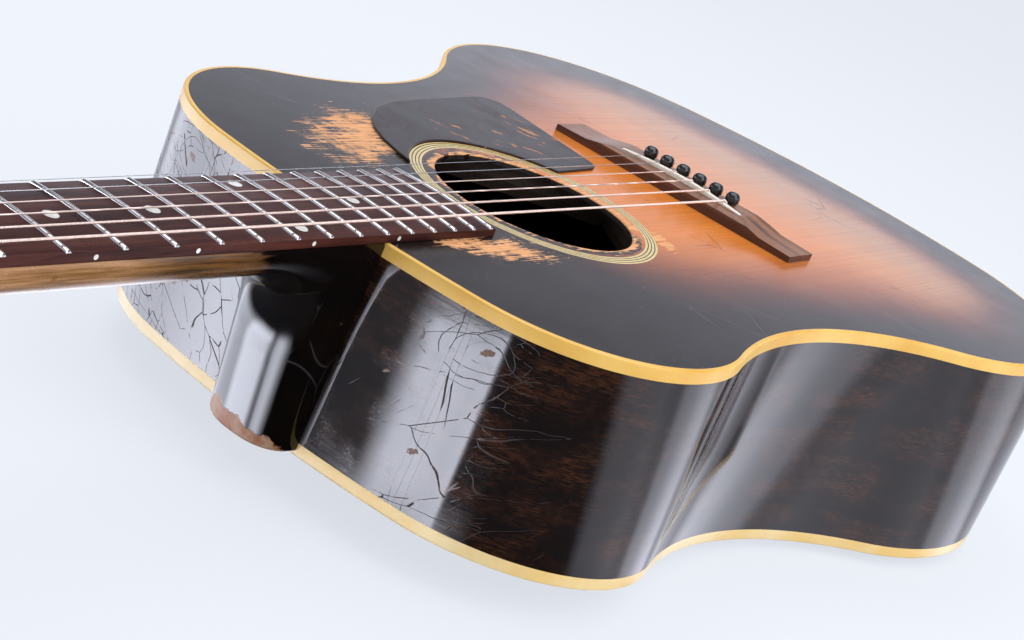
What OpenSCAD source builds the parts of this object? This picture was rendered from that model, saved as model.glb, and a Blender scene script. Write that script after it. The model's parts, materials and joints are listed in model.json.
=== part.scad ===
// Flat-top acoustic guitar lying on its back, strings up, in millimetres.
// +X runs from the tail to the headstock, +Y to the bass side and +Z up.
// The pieces are drawn with x = 0 at the neck joint and z = 0 on the top,
// and set_down() then puts the origin under the middle of the guitar.

/* [Body] */
// Length of the sound box, neck joint to tail
body_len = 492; // [480:1:600]
// Width across the upper bout
upper_w = 294; // [270:1:320]
// Width across the lower bout
lower_w = 400; // [360:1:480]
// Radius of the flat crown at the neck joint
crown_r = 612; // [500:1:740]
// Radius of each shoulder
shoulder_r = 82; // [70:1:98]
// Radius of the hollow waist
waist_r = 190; // [160:1:230]
// Radius of each lower bout
bout_r = 120; // [105:1:130]
// Radius of the tail
tail_r = 445; // [380:1:540]
// Depth of the rim at the neck joint
depth_neck = 103; // [88:1:120]
// Depth of the rim at the tail
depth_tail = 121; // [106:1:140]
// Radius of the arched back
back_arch_r = 3200; // [2600:50:3250]
// Thickness of the soundboard
top_t = 2.8; // [2.3:0.1:3.4]
// Thickness of the back
back_t = 2.6; // [2.2:0.1:3.2]
// Thickness of the bent sides, and of the binding that caps them
side_t = 2.2; // [1.8:0.1:2.7]
// Height of the binding
binding_h = 6; // [4:0.5:8]

/* [Soundhole] */
// Distance of the soundhole's centre from the neck joint
hole_x = 146; // [138:1:152]
// Radius of the soundhole
hole_r = 50; // [44:0.5:52]
// Inner radius of the rosette
rosette_r = 56.5; // [54:0.5:59]
// Number of plies in the rosette, pale and dark in turn
rosette_plies = 7; // [5:2:9]
// Width of a pale ply
pale_ply = 1.15; // [0.8:0.05:1.4]
// Width of a dark ply
dark_ply = 0.55; // [0.4:0.05:0.8]
// Depth of the rosette in the top
rosette_t = 1.2; // [0.8:0.1:1.5]
// Thickness of the pickguard
guard_t = 1.2; // [0.8:0.1:1.6]

/* [Inside] */
// Height of the kerfed linings
lining_h = 14; // [10:1:18]
// Width of the kerfed linings
lining_w = 6.5; // [5:0.5:8]
// Uncut web of the linings behind the kerfs
lining_web = 1.4; // [1:0.1:2]
// Share of each lining block that the kerf takes at either end
kerf_share = 0.07; // [0.04:0.01:0.12]
// Length of the neck block along the neck
block_len = 50; // [42:1:60]
// Width of the neck block
block_w = 90; // [76:1:108]
// Thickness of the tail block
tail_block_t = 22; // [18:1:27]
// Width of the tail block
tail_block_w = 76; // [64:1:92]
// Angle of the crossed braces from the strings
cross_angle = 49; // [47:0.5:51]
// Distance from the soundhole's centre to the crossing
cross_back = 77; // [76:1:84]
// Width of the crossed braces
cross_w = 8; // [6:0.5:9]
// Height of the crossed braces
cross_h = 15; // [12:0.5:17]
// Thickness of the bridge plate
plate_t = 2.6; // [2:0.1:3.2]

/* [Neck] */
// String length from nut to saddle before compensation
scale_len = 628.65; // [600:0.05:660]
// Number of frets
fret_count = 19; // [17:1:19]
// Fret that lies over the neck joint
joint_fret = 14; // [14:1:14]
// Width of the fretboard at the nut
nut_w = 43; // [40:0.5:46]
// Width of the fretboard at the twelfth fret
twelfth_w = 54.5; // [52:0.5:58]
// Thickness of the fretboard on its centre line
board_t = 5; // [4.5:0.1:6]
// Radius of the fretboard's crown
board_r = 305; // [250:5:400]
// Length of fretboard past the last fret
board_tail = 3.8; // [3:0.1:5]
// Height of a fret above the board
fret_h = 1; // [0.8:0.05:1.2]
// Width of a fret
fret_w = 2.4; // [2:0.1:2.8]
// Depth of the neck's wood at the nut
neck_d_nut = 16.5; // [15:0.5:19]
// Depth of the neck's wood where the heel begins
neck_d_heel = 19; // [17:0.5:22]
// Radius of the hollow curve from neck to heel
heel_curve_r = 40; // [34:1:46]
// Length of the heel along the strings, at mid height
heel_len = 22; // [18:1:26]
// Length of the heel along the strings, at its end
heel_end_len = 18.5; // [15:0.5:22]
// Width of the heel at its end
heel_end_w = 45; // [38:1:52]
// Thickness of the nut
nut_t = 5; // [4:0.1:6]
// Radius of the truss rod
rod_r = 2.5; // [2:0.1:3]
// Depth of the truss rod's axis below the fretboard
rod_z = 8; // [7.5:0.1:9]

/* [Headstock] */
// Angle of the headstock behind the neck
head_tilt = 16; // [12:0.5:18]
// Length of the headstock from the nut
head_len = 178; // [168:1:210]
// Width of the headstock
head_w = 72; // [68:1:82]
// Thickness of the headstock's wood
head_t = 14; // [12.5:0.1:16]
// Thickness of the face veneer
veneer_t = 1.4; // [1:0.1:2]
// Distance from nut to the first posts
post_first = 58; // [54:0.5:64]
// Spacing of the posts
post_step = 38; // [35:0.5:42]
// Distance of the posts from the headstock's edge
post_inset = 11.5; // [10.5:0.1:13]

/* [Tuners] */
// Radius of the string posts
post_r = 3; // [2.6:0.05:3.3]
// Height of the posts above the veneer
post_h = 13; // [12:0.5:15]
// Teeth on the post's gear
gear_teeth = 14; // [12:1:16]
// Pitch radius of the gear
gear_r = 6; // [5.6:0.1:6.2]
// Thickness of the gear
gear_t = 3.6; // [3:0.1:4]
// Pitch radius of the worm
worm_r = 3; // [2.8:0.05:3.1]
// Length of the worm
worm_len = 8.2; // [7:0.1:9]
// Radius of the key's spindle
spindle_r = 1.6; // [1.4:0.05:1.7]
// Thickness of the tuner plates
tuner_plate_t = 1; // [0.8:0.1:1.4]
// Length of the key's button
button_len = 17; // [14:0.5:20]
// Radius of the key's button
button_r = 7; // [6:0.25:8]

/* [Bridge] */
// Length of the bridge across the top
bridge_len = 156; // [140:1:170]
// Width of the bridge along the strings
bridge_w = 27; // [25:0.5:30]
// Height of the bridge's middle
bridge_h = 7.5; // [6.5:0.1:9]
// Height of the bridge's wings
wing_h = 3.4; // [2.5:0.1:4]
// Distance of the saddle from the bridge's front edge
saddle_inset = 9; // [8:0.5:10]
// Length of the saddle
saddle_len = 80; // [72:1:86]
// Thickness of the saddle
saddle_t = 3; // [2.4:0.1:3.4]
// Height of the saddle's crown above the bridge
saddle_rise = 2.6; // [2:0.1:4]
// Extra string length at the saddle
compensation = 2.4; // [1:0.1:4]
// Distance from saddle to the pins
pin_back = 9.4; // [9:0.1:11]
// Radius of the pin holes
pin_hole_r = 2.65; // [2.4:0.05:3]
// Radius of the pin heads
pin_head_r = 3.9; // [3.4:0.1:4.1]

/* [Strings] */
// Spread of the outer strings at the nut
spread_nut = 36; // [34:0.5:38]
// Spread of the outer strings at the saddle
spread_saddle = 55; // [52:0.5:58]
// Height of the strings over the first fret's crown, at the nut
nut_action = 0.4; // [0.2:0.05:0.8]
// Space between the turns of a winding
turn_gap = 0.46; // [0.44:0.01:0.6]

/* [Hidden] */
// String diameters and turns round the post, first string to sixth
GAUGES = [0.32, 0.42, 0.62, 0.82, 1.08, 1.36];
TURNS = [5, 5, 4, 3, 3, 3];
STRINGS = 6;

// Clearances
slip = 0.05;
seat = 0.15;
clear = 0.3;
// Height of a string over the bridge where it leaves its slot, and its run past the nut
string_lip = 0.4;

// Arcs of the outline, centres on the bass half
crown_c = [-crown_r, 0];
shoulder_y = upper_w / 2 - shoulder_r;
shoulder_c = [-crown_r + sqrt(pow(crown_r - shoulder_r, 2) - pow(shoulder_y, 2)), shoulder_y];
tail_c = [tail_r - body_len, 0];
bout_y = lower_w / 2 - bout_r;
bout_c = [tail_c[0] - sqrt(pow(tail_r - bout_r, 2) - pow(bout_y, 2)), bout_y];
waist_span = norm(bout_c - shoulder_c);
waist_dir = (bout_c - shoulder_c) / waist_span;
waist_along = (pow(shoulder_r + waist_r, 2) - pow(bout_r + waist_r, 2) + pow(waist_span, 2))
  / (2 * waist_span);
waist_off = sqrt(pow(shoulder_r + waist_r, 2) - pow(waist_along, 2));
waist_c = shoulder_c + waist_along * waist_dir + waist_off * [waist_dir[1], -waist_dir[0]];
crown_a = bearing(crown_c, shoulder_c);
shoulder_a = bearing(shoulder_c, waist_c);
waist_a = bearing(bout_c, waist_c);
bout_a = bearing(tail_c, bout_c);
CROWN_STEPS = 6;
SHOULDER_STEPS = 24;
WAIST_STEPS = 16;
BOUT_STEPS = 28;
TAIL_STEPS = 10;

// Arched back: a ball through the rim at the neck joint and at the tail
back_chord = norm([body_len, depth_tail - depth_neck]);
back_lift = sqrt(pow(back_arch_r, 2) - pow(back_chord / 2, 2));
back_c = [-body_len / 2 - back_lift * (depth_tail - depth_neck) / back_chord, 0,
  -(depth_neck + depth_tail) / 2 + back_lift * body_len / back_chord];
BALL_FN = 256;
back_low = back_c[2] - back_arch_r;
box_low = back_low - 20;

// Neck, nut and saddle places
nut_x = scale_len * (1 - pow(2, -joint_fret / 12));
nut_back = nut_x + nut_t;
twelfth_x = fret_x(12);
board_end = fret_x(fret_count) - board_tail;
saddle_x = nut_x - scale_len - compensation;
saddle_top = bridge_h + saddle_rise;
pin_x = saddle_x - pin_back;
nut_string_z = board_t + fret_h + nut_action;
hole_c = [-hole_x, 0];
rosette_w = ceil(rosette_plies / 2) * pale_ply + floor(rosette_plies / 2) * dark_ply;
cross_x = -hole_x - cross_back;
lining_in = -side_t - lining_w;

// Heel
heel_x = heel_len + heel_curve_r;
heel_z = -(neck_d_heel + heel_curve_r);
heel_end_z = -depth_neck + 1.5;
heel_corner = atan2(heel_x, -heel_z);
tenon_z = heel_end_z + 14;
tenon_len = 20;
tenon_root = 0.8;
tenon_top = -0.2;
tenon_neck_w = 17;
tenon_end_w = 26;

// Headstock
post_y = head_w / 2 - post_inset;
back_face = -head_t;
plate_low = back_face - tuner_plate_t;
worm_tip = 0.7;
worm_root = 0.85;
thread_crest = 0.5;
thread_base = 1.5;
tooth_crest = 0.55;
tooth_base = 1.45;
gear_tip = 0.75;
gear_root = 0.9;
gear_z = plate_low - clear - worm_r - worm_tip;
mesh_gap = gear_r + worm_r;
thread_pitch = 2 * PI * gear_r / gear_teeth;
lead_a = atan(thread_pitch / (2 * PI * worm_r));
bushing_h = 1.2;
bushing_r = post_r + 1.6;
bushing_depth = 6;
flange_r = bushing_r + 1.4;
flange_t = 0.5;
flange_slope = 0.8;
wind_waist = 0.3;
wind_r = post_r - wind_waist;
wind_air = 0.08;
wind_low = veneer_t + bushing_h + 0.9;
ear_t = 2.2;
ear_r = 3;
ear_y = worm_len / 2 + clear;
post_top = veneer_t + post_h;
post_cap = 1.8;
post_hole_air = 0.75;
button_start = post_inset + 5;
square_w = 3.4;
screw_r = 1.2;
screw_head_r = 2.2;
screw_head_h = 1.2;
gear_screw_r = 2.9;
gear_screw_h = 1.7;
screw_len = 8;
truss_nut_len = 9;
truss_nut_r = 4.5;
truss_nut_x = nut_back + 3;
pocket_len = 30;
pocket_gap = 0.4;
pocket_w = 13;
pocket_z = rod_z + 6;
end_pin_r = 4.5;
end_pin_taper = 1;
end_pin_flange_r = 6.6;
end_pin_waist_r = 4.2;
end_pin_cap_r = 7;
end_pin_head = 9;

// Where the origin goes: under the middle of the whole guitar
x_low = -body_len - end_pin_head;
x_high = nut_back + head_len * cos(head_tilt) + veneer_t * sin(head_tilt);
origin = [(x_low + x_high) / 2, 0, back_low];

// Functions

function bearing(from, to) = atan2(to[1] - from[1], to[0] - from[0]);
function arc(c, r, a0, a1, steps, first = 1) =
  [for (i = [first:steps]) let (a = a0 + (a1 - a0) * i / steps) c + r * [cos(a), sin(a)]];

// Bass half of the body's outline, grown outwards by o
function half_outline(o) = concat(
  arc(crown_c, crown_r + o, 0, crown_a, CROWN_STEPS, 0),
  arc(shoulder_c, shoulder_r + o, crown_a, shoulder_a, SHOULDER_STEPS),
  arc(waist_c, waist_r - o, shoulder_a + 180, waist_a + 180, WAIST_STEPS),
  arc(bout_c, bout_r + o, waist_a, bout_a, BOUT_STEPS),
  arc(tail_c, tail_r + o, bout_a, 180, TAIL_STEPS));
function outline(o) = let (h = half_outline(o))
  concat(h, [for (i = [len(h) - 2:-1:1]) [h[i][0], -h[i][1]]]);

// Half width between the linings at x
function rim_half(x) = lookup(x, half_outline(lining_in - clear));

// Inner edge of a kerfed lining: a block on each step of the outline
function kerfed(o_in, o_web) =
  let (a = outline(o_in), b = outline(o_web), n = len(a))
  [for (i = [0:n - 1]) let (j = (i + 1) % n)
    each [mix(b[i], b[j], kerf_share), mix(a[i], a[j], kerf_share),
          mix(a[i], a[j], 1 - kerf_share), mix(b[i], b[j], 1 - kerf_share)]];

function mix(a, b, t) = a + (b - a) * t;
function fret_x(n) = nut_x - scale_len * (1 - pow(2, -n / 12));
function board_half(x) = nut_w / 2 + (nut_x - x) * (twelfth_w - nut_w) / 2 / (nut_x - twelfth_x);
function crown_drop(y) = y * y / (2 * board_r);
function nut_y(i) = (i - (STRINGS + 1) / 2) * spread_nut / (STRINGS - 1);
function saddle_y(i) = (i - (STRINGS + 1) / 2) * spread_saddle / (STRINGS - 1);
function unit(v) = v / norm(v);
// Half section of a domed head of radius r and height h, to turn about its axis
function dome(r, h) = let (ball = (r * r + h * h) / (2 * h))
  concat([[0, 0]], arc([0, h - ball], ball, asin((ball - h) / ball), 90, 6, 0));
function bass(i) = i > STRINGS / 2;
function side_of(i) = bass(i) ? 1 : -1;
function post_s(i) = post_first + post_step * (bass(i) ? STRINGS - i : i - 1);

// A point of the headstock's own frame in the guitar's frame
function on_head(p) = [nut_back + p[0] * cos(head_tilt) + p[2] * sin(head_tilt), p[1],
  -p[0] * sin(head_tilt) + p[2] * cos(head_tilt)];
// A point of the guitar's frame in the headstock's own frame
function to_head(p) = [(p[0] - nut_back) * cos(head_tilt) - p[2] * sin(head_tilt), p[1],
  (p[0] - nut_back) * sin(head_tilt) + p[2] * cos(head_tilt)];

// Rings of a tube of radius r along a path, and the skin over any row of rings
function heading(path, i) =
  unit(path[min(i + 1, len(path) - 1)] - path[max(i - 1, 0)]);
function tube_rings(path, r, sides, up) =
  [for (i = [0:len(path) - 1])
    let (t = heading(path, i), u = unit(cross(up, t)), v = cross(t, u))
    [for (k = [0:sides - 1]) let (a = 360 * k / sides) path[i] + r * (cos(a) * u + sin(a) * v)]];
function skin_faces(rows, n) = concat(
  [for (i = [0:rows - 2], k = [0:n - 1]) let (a = i * n + k, b = i * n + (k + 1) % n) [a, b + n, b]],
  [for (i = [0:rows - 2], k = [0:n - 1]) let (a = i * n + k, b = i * n + (k + 1) % n) [a, a + n, b + n]],
  [[for (k = [0:n - 1]) k], [for (k = [n - 1:-1:0]) (rows - 1) * n + k]]);

// Winding of string i, in the headstock's frame
function coil_r(i) = wind_r + GAUGES[i - 1] / 2 + wind_air;
function coil_low(i) = wind_low + GAUGES[i - 1] / 2;
function coil_rise(i) = GAUGES[i - 1] + turn_gap;
function coil_high(i) = coil_low(i) + TURNS[i - 1] * coil_rise(i);
function coil_hole_r(i) = GAUGES[i - 1] / 2 + post_hole_air;
function nut_exit(i) = to_head([nut_back + string_lip, nut_y(i),
  nut_string_z + GAUGES[i - 1] / 2 - crown_drop(nut_y(i))]);
function post_c(i) = [post_s(i), side_of(i) * post_y];
// Plan bearing of the string as it runs to the inner side of its post
function run_a(i) =
  let (p = nut_exit(i), c = post_c(i), v = [c[0] - p[0], c[1] - p[1]])
  atan2(v[1], v[0]) - side_of(i) * asin(coil_r(i) / norm(v));
function touch_a(i) = run_a(i) - side_of(i) * 90;
// A string stops just outside the ring that the winding's straight end sweeps
function stand_off(i) =
  let (d = GAUGES[i - 1], sweep = norm([coil_r(i) + d / 2, d]) + seat)
  sqrt(pow(sweep, 2) - pow(coil_r(i) - d / 2, 2));
function touch_point(i) = let (a = touch_a(i), c = post_c(i))
  [c[0] + coil_r(i) * cos(a), c[1] + coil_r(i) * sin(a), coil_low(i)];
function run_dir(i) = [cos(run_a(i)), sin(run_a(i)), 0];
COIL_STEPS = 24;
COIL_BEND = 12;
function coil_hole_a(i) = touch_a(i) + side_of(i) * COIL_BEND;
function coil_path(i) =
  let (c = post_c(i), r = coil_r(i), n = TURNS[i - 1] * COIL_STEPS, a0 = touch_a(i))
  concat([touch_point(i) - GAUGES[i - 1] * run_dir(i)],
    [for (k = [0:n]) let (a = a0 + side_of(i) * 360 * k / COIL_STEPS)
      [c[0] + r * cos(a), c[1] + r * sin(a), coil_low(i) + coil_rise(i) * k / COIL_STEPS]],
    [for (f = [0.45, 0.05]) let (a = coil_hole_a(i))
      [c[0] + f * r * cos(a), c[1] + f * r * sin(a), coil_high(i)]]);
// Least gap between the turns of winding i, measured on its points
function coil_gap(i) =
  let (p = coil_path(i), n = len(p) - 3, skip = COIL_STEPS / 2)
  min([for (a = [1:n - skip], b = [a + skip:n]) norm(p[a] - p[b])]) - GAUGES[i - 1];
echo(least_winding_gap = min([for (i = [1:STRINGS]) coil_gap(i)]));

// Shared shapes

module set_down() translate(-origin) children();
module at_head() translate([nut_back, 0, 0]) rotate([0, head_tilt, 0]) children();
module at_post(i) at_head() translate([post_s(i), 0, 0])
  mirror([0, bass(i) ? 0 : 1, 0]) translate([0, post_y, 0]) children();
module rim_prism(o, z0, z1) translate([0, 0, z0]) linear_extrude(z1 - z0) polygon(outline(o));
module rim_wall(o_out, o_in, z0, z1)
  translate([0, 0, z0]) linear_extrude(z1 - z0)
    difference() {
      polygon(outline(o_out));
      polygon(outline(o_in));
    }
// Everything above the back's outer surface moved in by depth
module above_back(depth)
  translate(back_c) rotate([90, 0, 0]) sphere(r = back_arch_r - depth, $fn = BALL_FN);
// A cylinder along X whose top line is at height z
module crowned(z, r, x0, x1)
  translate([x0, 0, z - r]) rotate([0, 90, 0]) cylinder(r = r, h = x1 - x0, $fn = BALL_FN);
module ring(r0, r1, z0, z1)
  translate([hole_c[0], 0, z0]) linear_extrude(z1 - z0)
    difference() {
      circle(r = r1, $fn = 96);
      circle(r = r0, $fn = 96);
    }

// The neck's dovetail, grown by fit on its flanks and foot
module dovetail(fit, z1)
  translate([0, 0, tenon_z - fit]) linear_extrude(z1 - tenon_z + fit)
    polygon([[tenon_root, -tenon_neck_w / 2 - fit], [tenon_root, tenon_neck_w / 2 + fit],
             [-tenon_len - fit, tenon_end_w / 2 + fit], [-tenon_len - fit, -tenon_end_w / 2 - fit]]);

// A brace hanging below z = 0 along X, tapered to its tips and rounded below
module brace(len, w, h, tip_h, taper)
  intersection() {
    rotate([90, 0, 0]) linear_extrude(w, center = true)
      polygon([[-len / 2, 0], [len / 2, 0], [len / 2, -tip_h], [len / 2 - taper, -h],
               [taper - len / 2, -h], [-len / 2, -tip_h]]);
    rotate([90, 0, 90]) linear_extrude(len, center = true)
      mirror([0, 1]) brace_end(w, h);
  }
// Cross section of a brace: straight flanks, then sloped to a narrow crest
brace_flank = 0.55;
brace_crest = 0.2;
module brace_end(w, h)
  polygon([[-w / 2, 0], [w / 2, 0], [w / 2, h * brace_flank], [w * brace_crest, h], [-w * brace_crest, h],
           [-w / 2, h * brace_flank]]);
module under_top() translate([0, 0, -top_t]) children();
module inside_linings() intersection() {
  rim_prism(lining_in - clear, box_low, 0);
  children();
}

module pin_holes(r, z0, z1)
  for (i = [1:STRINGS]) translate([pin_x, saddle_y(i), z0]) {
    cylinder(r = r, h = z1 - z0, $fn = 32);
    string_slot(i, z1 - z0);
  }
// Slot that lets string i rise in front of its pin
string_rise_x = pin_head_r + GAUGES[STRINGS - 1] / 2 + clear;
module string_slot(i, h)
  let (w = GAUGES[i - 1] + 2 * clear)
  translate([0, -w / 2, 0]) cube([string_rise_x + w / 2, w, h]);

// Sound box

module soundboard() color("#b5651d")
  difference() {
    rim_prism(-side_t, -top_t, 0);
    translate([hole_c[0], 0, -top_t - 1]) cylinder(r = hole_r, h = top_t + 2, $fn = 128);
    ring(rosette_r, rosette_r + rosette_w, -rosette_t, 1);
    dovetail(seat, 1);
    pin_holes(pin_hole_r, -top_t - 1, 1);
  }

module back() color("#2a120b")
  difference() {
    intersection() {
      rim_prism(-side_t, box_low, -depth_neck / 2);
      above_back(0);
    }
    above_back(back_t);
  }

// The bent side on one half, seated between the two bindings
module bent_side(half)
  difference() {
    intersection() {
      rim_wall(0, -side_t, box_low, -binding_h);
      above_back(binding_h);
      translate([-body_len - 50, half > 0 ? 0 : -lower_w, box_low]) cube([body_len + 100, lower_w, 400]);
    }
    dovetail(seat, 1);
    end_pin_hole();
  }
module bass_side() color("#1d0d09") bent_side(1);
module treble_side() color("#1d0d09") bent_side(-1);

module top_binding() color("#e0b24a")
  difference() {
    rim_wall(0, -side_t, -binding_h, 0);
    dovetail(seat, 1);
  }

module back_binding() color("#e0b24a")
  difference() {
    intersection() {
      rim_wall(0, -side_t, box_low, -depth_neck / 2);
      above_back(0);
    }
    above_back(binding_h);
  }

// A block across the inside of the rim, between x0 and x1
module end_block(x0, x1, w)
  intersection() {
    rim_prism(-side_t, box_low, -top_t);
    above_back(back_t);
    translate([x0, -w / 2, box_low]) cube([x1 - x0, w, -box_low]);
  }
module neck_block() color("#8a4b2a")
  difference() {
    end_block(-block_len, 10, block_w);
    dovetail(seat, 1);
  }
end_pin_z = -(depth_tail / 2);
module end_pin_hole()
  translate([-body_len - 5, 0, end_pin_z]) rotate([0, 90, 0])
    cylinder(r = end_pin_r + slip, h = tail_block_t + 20, $fn = 48);
module tail_block() color("#8a4b2a")
  difference() {
    end_block(-body_len - 10, -body_len + side_t + tail_block_t, tail_block_w);
    end_pin_hole();
  }

// A kerfed lining, stopped at the blocks
module lining(z0, z1)
  difference() {
    translate([0, 0, z0]) linear_extrude(z1 - z0)
      difference() {
        polygon(outline(-side_t));
        polygon(kerfed(lining_in, -side_t - lining_web));
      }
    translate([-block_len, -block_w / 2, z0 - 1]) cube([block_len + 10, block_w, z1 - z0 + 2]);
    translate([-body_len - 10, -tail_block_w / 2, z0 - 1])
      cube([side_t + tail_block_t + 10, tail_block_w, z1 - z0 + 2]);
  }
module top_lining() color("#c49a6c") lining(-top_t - lining_h, -top_t);
module back_lining() color("#c49a6c")
  difference() {
    intersection() {
      lining(box_low, -depth_neck / 2);
      above_back(back_t);
    }
    above_back(back_t + lining_h);
  }

// The two crossed braces, half lapped where they meet
cross_front = 182;
cross_rear = 252;
cross_tip = 4;
cross_taper = 60;
module cross_place(side) under_top() translate([cross_x, 0, 0]) rotate([0, 0, side * cross_angle]) children();
module cross_bar(side)
  cross_place(side) translate([(cross_front - cross_rear) / 2, 0, 0])
    brace(cross_front + cross_rear, cross_w, cross_h, cross_tip, cross_taper);
module lap(side, z0, z1)
  cross_place(side) translate([-2 * cross_w, -cross_w / 2 - slip, z0])
    cube([4 * cross_w, cross_w + 2 * slip, z1 - z0]);
module cross_brace_bass() color("#d6b27a")
  inside_linings() difference() {
    cross_bar(-1);
    lap(1, -cross_h - 1, -cross_h / 2);
  }
module cross_brace_treble() color("#d6b27a")
  inside_linings() difference() {
    cross_bar(1);
    lap(-1, -cross_h / 2, 1);
  }
function cross_y(x) = (cross_x - x) * tan(cross_angle);

// Smaller braces: [x, y, angle, length, width, height]; the fingers end short of the rim
small_tip = 2.5;
finger_gap = 4;
// A place a share f of the way from the crossed braces to the tail
function behind(f) = mix(cross_x, -body_len, f);
function finger(x, angle, len, w, h) = [x, rim_half(x) - finger_gap - len / 2 * sin(angle), angle, len, w, h];
TRANSVERSE = [-hole_x + 64, 0, 90, upper_w - 2 * (side_t + lining_w) - 12, 12, 14];
TONE_BARS = [[behind(0.45), 0, 76, 190, 7, 11], [behind(0.66), -12, 70, 190, 7, 10]];
FINGERS = [finger(behind(0.13), 76, 62, 5, 7), finger(behind(0.34), 68, 44, 5, 7)];
module small_brace(b)
  translate([b[0], b[1], 0]) rotate([0, 0, b[2]]) brace(b[3], b[4], b[5], small_tip, b[3] / 5);
module top_braces() color("#d6b27a")
  inside_linings() under_top() {
    small_brace(TRANSVERSE);
    for (b = TONE_BARS) small_brace(b);
    for (b = FINGERS, m = [0, 1]) mirror([0, m, 0]) small_brace(b);
  }

plate_margin = 18;
plate_front = saddle_x + plate_margin;
plate_rear = pin_x - plate_margin;
plate_half = 72;
module bridge_plate() color("#c8a06a")
  difference() {
    let (front = cross_y(plate_front) - cross_w, rear = min(plate_half, cross_y(plate_rear) - cross_w))
    under_top() translate([0, 0, -plate_t]) linear_extrude(plate_t)
      polygon([[plate_front, front], [plate_rear, rear], [plate_rear, -rear], [plate_front, -front]]);
    pin_holes(pin_hole_r, -top_t - plate_t - 1, 1);
  }

// Braces across the back, arched to fit it and notched over the strip:
// [share of the body's length, width, height]
BACK_BRACES = [[0.18, 8, 14], [0.39, 8, 14], [0.61, 14, 10], [0.79, 14, 10]];
BRACE_STEPS = 16;
back_brace_gap = 4;
back_brace_tip = 3;
back_brace_flat = 0.72;
back_brace_r = back_arch_r - back_t - slip;
// Side view of a back brace of half length half and height h, standing on the arch
function arched(half, h) =
  let (under = [for (k = [0:BRACE_STEPS]) let (y = half * (2 * k / BRACE_STEPS - 1))
         [y, back_brace_r - sqrt(pow(back_brace_r, 2) - y * y)]],
       tip = under[0][1] + back_brace_tip, flat = half * back_brace_flat)
  concat(under, [[half, tip], [flat, h], [-flat, h], [-half, tip]]);
module back_brace(half, w, h)
  difference() {
    intersection() {
      rotate([90, 0, 90]) linear_extrude(w, center = true) polygon(arched(half, h));
      rotate([90, 0, 0]) linear_extrude(2 * half + 2, center = true) brace_end(w, h);
    }
    cube([2 * w, strip_w + 2 * seat, 2 * (strip_t + seat)], center = true);
  }
module back_braces() color("#c49a6c")
  for (b = BACK_BRACES)
    let (x = -b[0] * body_len)
    inside_linings() translate(back_c) rotate([0, -asin((x - back_c[0]) / back_arch_r), 0])
      translate([0, 0, -back_brace_r]) back_brace(rim_half(x) - back_brace_gap, b[1], b[2]);

strip_t = 2.4;
strip_w = 18;
module back_strip() color("#c49a6c")
  difference() {
    intersection() {
      translate([-body_len + side_t + tail_block_t + clear, -strip_w / 2, box_low])
        cube([body_len - side_t - tail_block_t - block_len - 2 * clear, strip_w, -box_low - depth_neck / 2]);
      above_back(back_t);
    }
    above_back(back_t + strip_t);
  }

// Soundhole trim

function ply_r(k) = rosette_r + ceil(k / 2) * pale_ply + floor(k / 2) * dark_ply;
module rosette(first)
  for (k = [first:2:rosette_plies - 1]) ring(ply_r(k), ply_r(k + 1), -rosette_t, 0);
module rosette_pale() color("#e6dcae") rosette(0);
module rosette_dark() color("#1a1512") rosette(1);

// Teardrop guard on the treble side, hugging the rosette: corners from the soundhole's centre
GUARD = [[50, -30], [46, -50], [41, -64], [33, -78], [22, -89], [8, -99], [-10, -106], [-40, -111],
         [-84, -115.5], [-104, -117], [-114, -112], [-114, -100], [-106, -56], [-102, -32], [-94, -28.5],
         [-54, -26]];
guard_round = 9;
module pickguard() color("#2b1a16")
  difference() {
    linear_extrude(guard_t) offset(r = guard_round, $fn = 48) offset(delta = -guard_round)
      polygon([for (p = GUARD) hole_c + p]);
    translate([hole_c[0], 0, -1]) cylinder(r = rosette_r + rosette_w + clear, h = guard_t + 2, $fn = 128);
  }

// Bridge

bridge_front = saddle_x + saddle_inset;
bridge_rear = bridge_front - bridge_w;
rise_half = saddle_len / 2 + 2;
ramp_len = 16;
ramp_foot = wing_h + 0.6;
bevel_w = 2;
bevel_h = 1.6;
saddle_seat = 4;
module bridge() color("#4a2c1a")
  difference() {
    intersection() {
      translate([bridge_front, 0, 0]) rotate([90, 0, -90]) linear_extrude(bridge_w)
        polygon([[-bridge_len / 2, 0], [-bridge_len / 2, wing_h], [-rise_half - ramp_len, ramp_foot],
                 [-rise_half, bridge_h], [rise_half, bridge_h], [rise_half + ramp_len, ramp_foot],
                 [bridge_len / 2, wing_h], [bridge_len / 2, 0]]);
      translate([0, bridge_len / 2, 0]) rotate([90, 0, 0]) linear_extrude(bridge_len)
        polygon([[bridge_rear, 0], [bridge_front, 0], [bridge_front, bridge_h - bevel_h],
                 [bridge_front - bevel_w, bridge_h], [bridge_rear + bevel_w, bridge_h],
                 [bridge_rear, bridge_h - bevel_h]]);
    }
    translate([saddle_x - saddle_t / 2, -saddle_len / 2, bridge_h - saddle_seat])
      cube([saddle_t, saddle_len, saddle_seat + 1]);
    pin_holes(pin_hole_r, -1, bridge_h + 1);
  }

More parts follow.
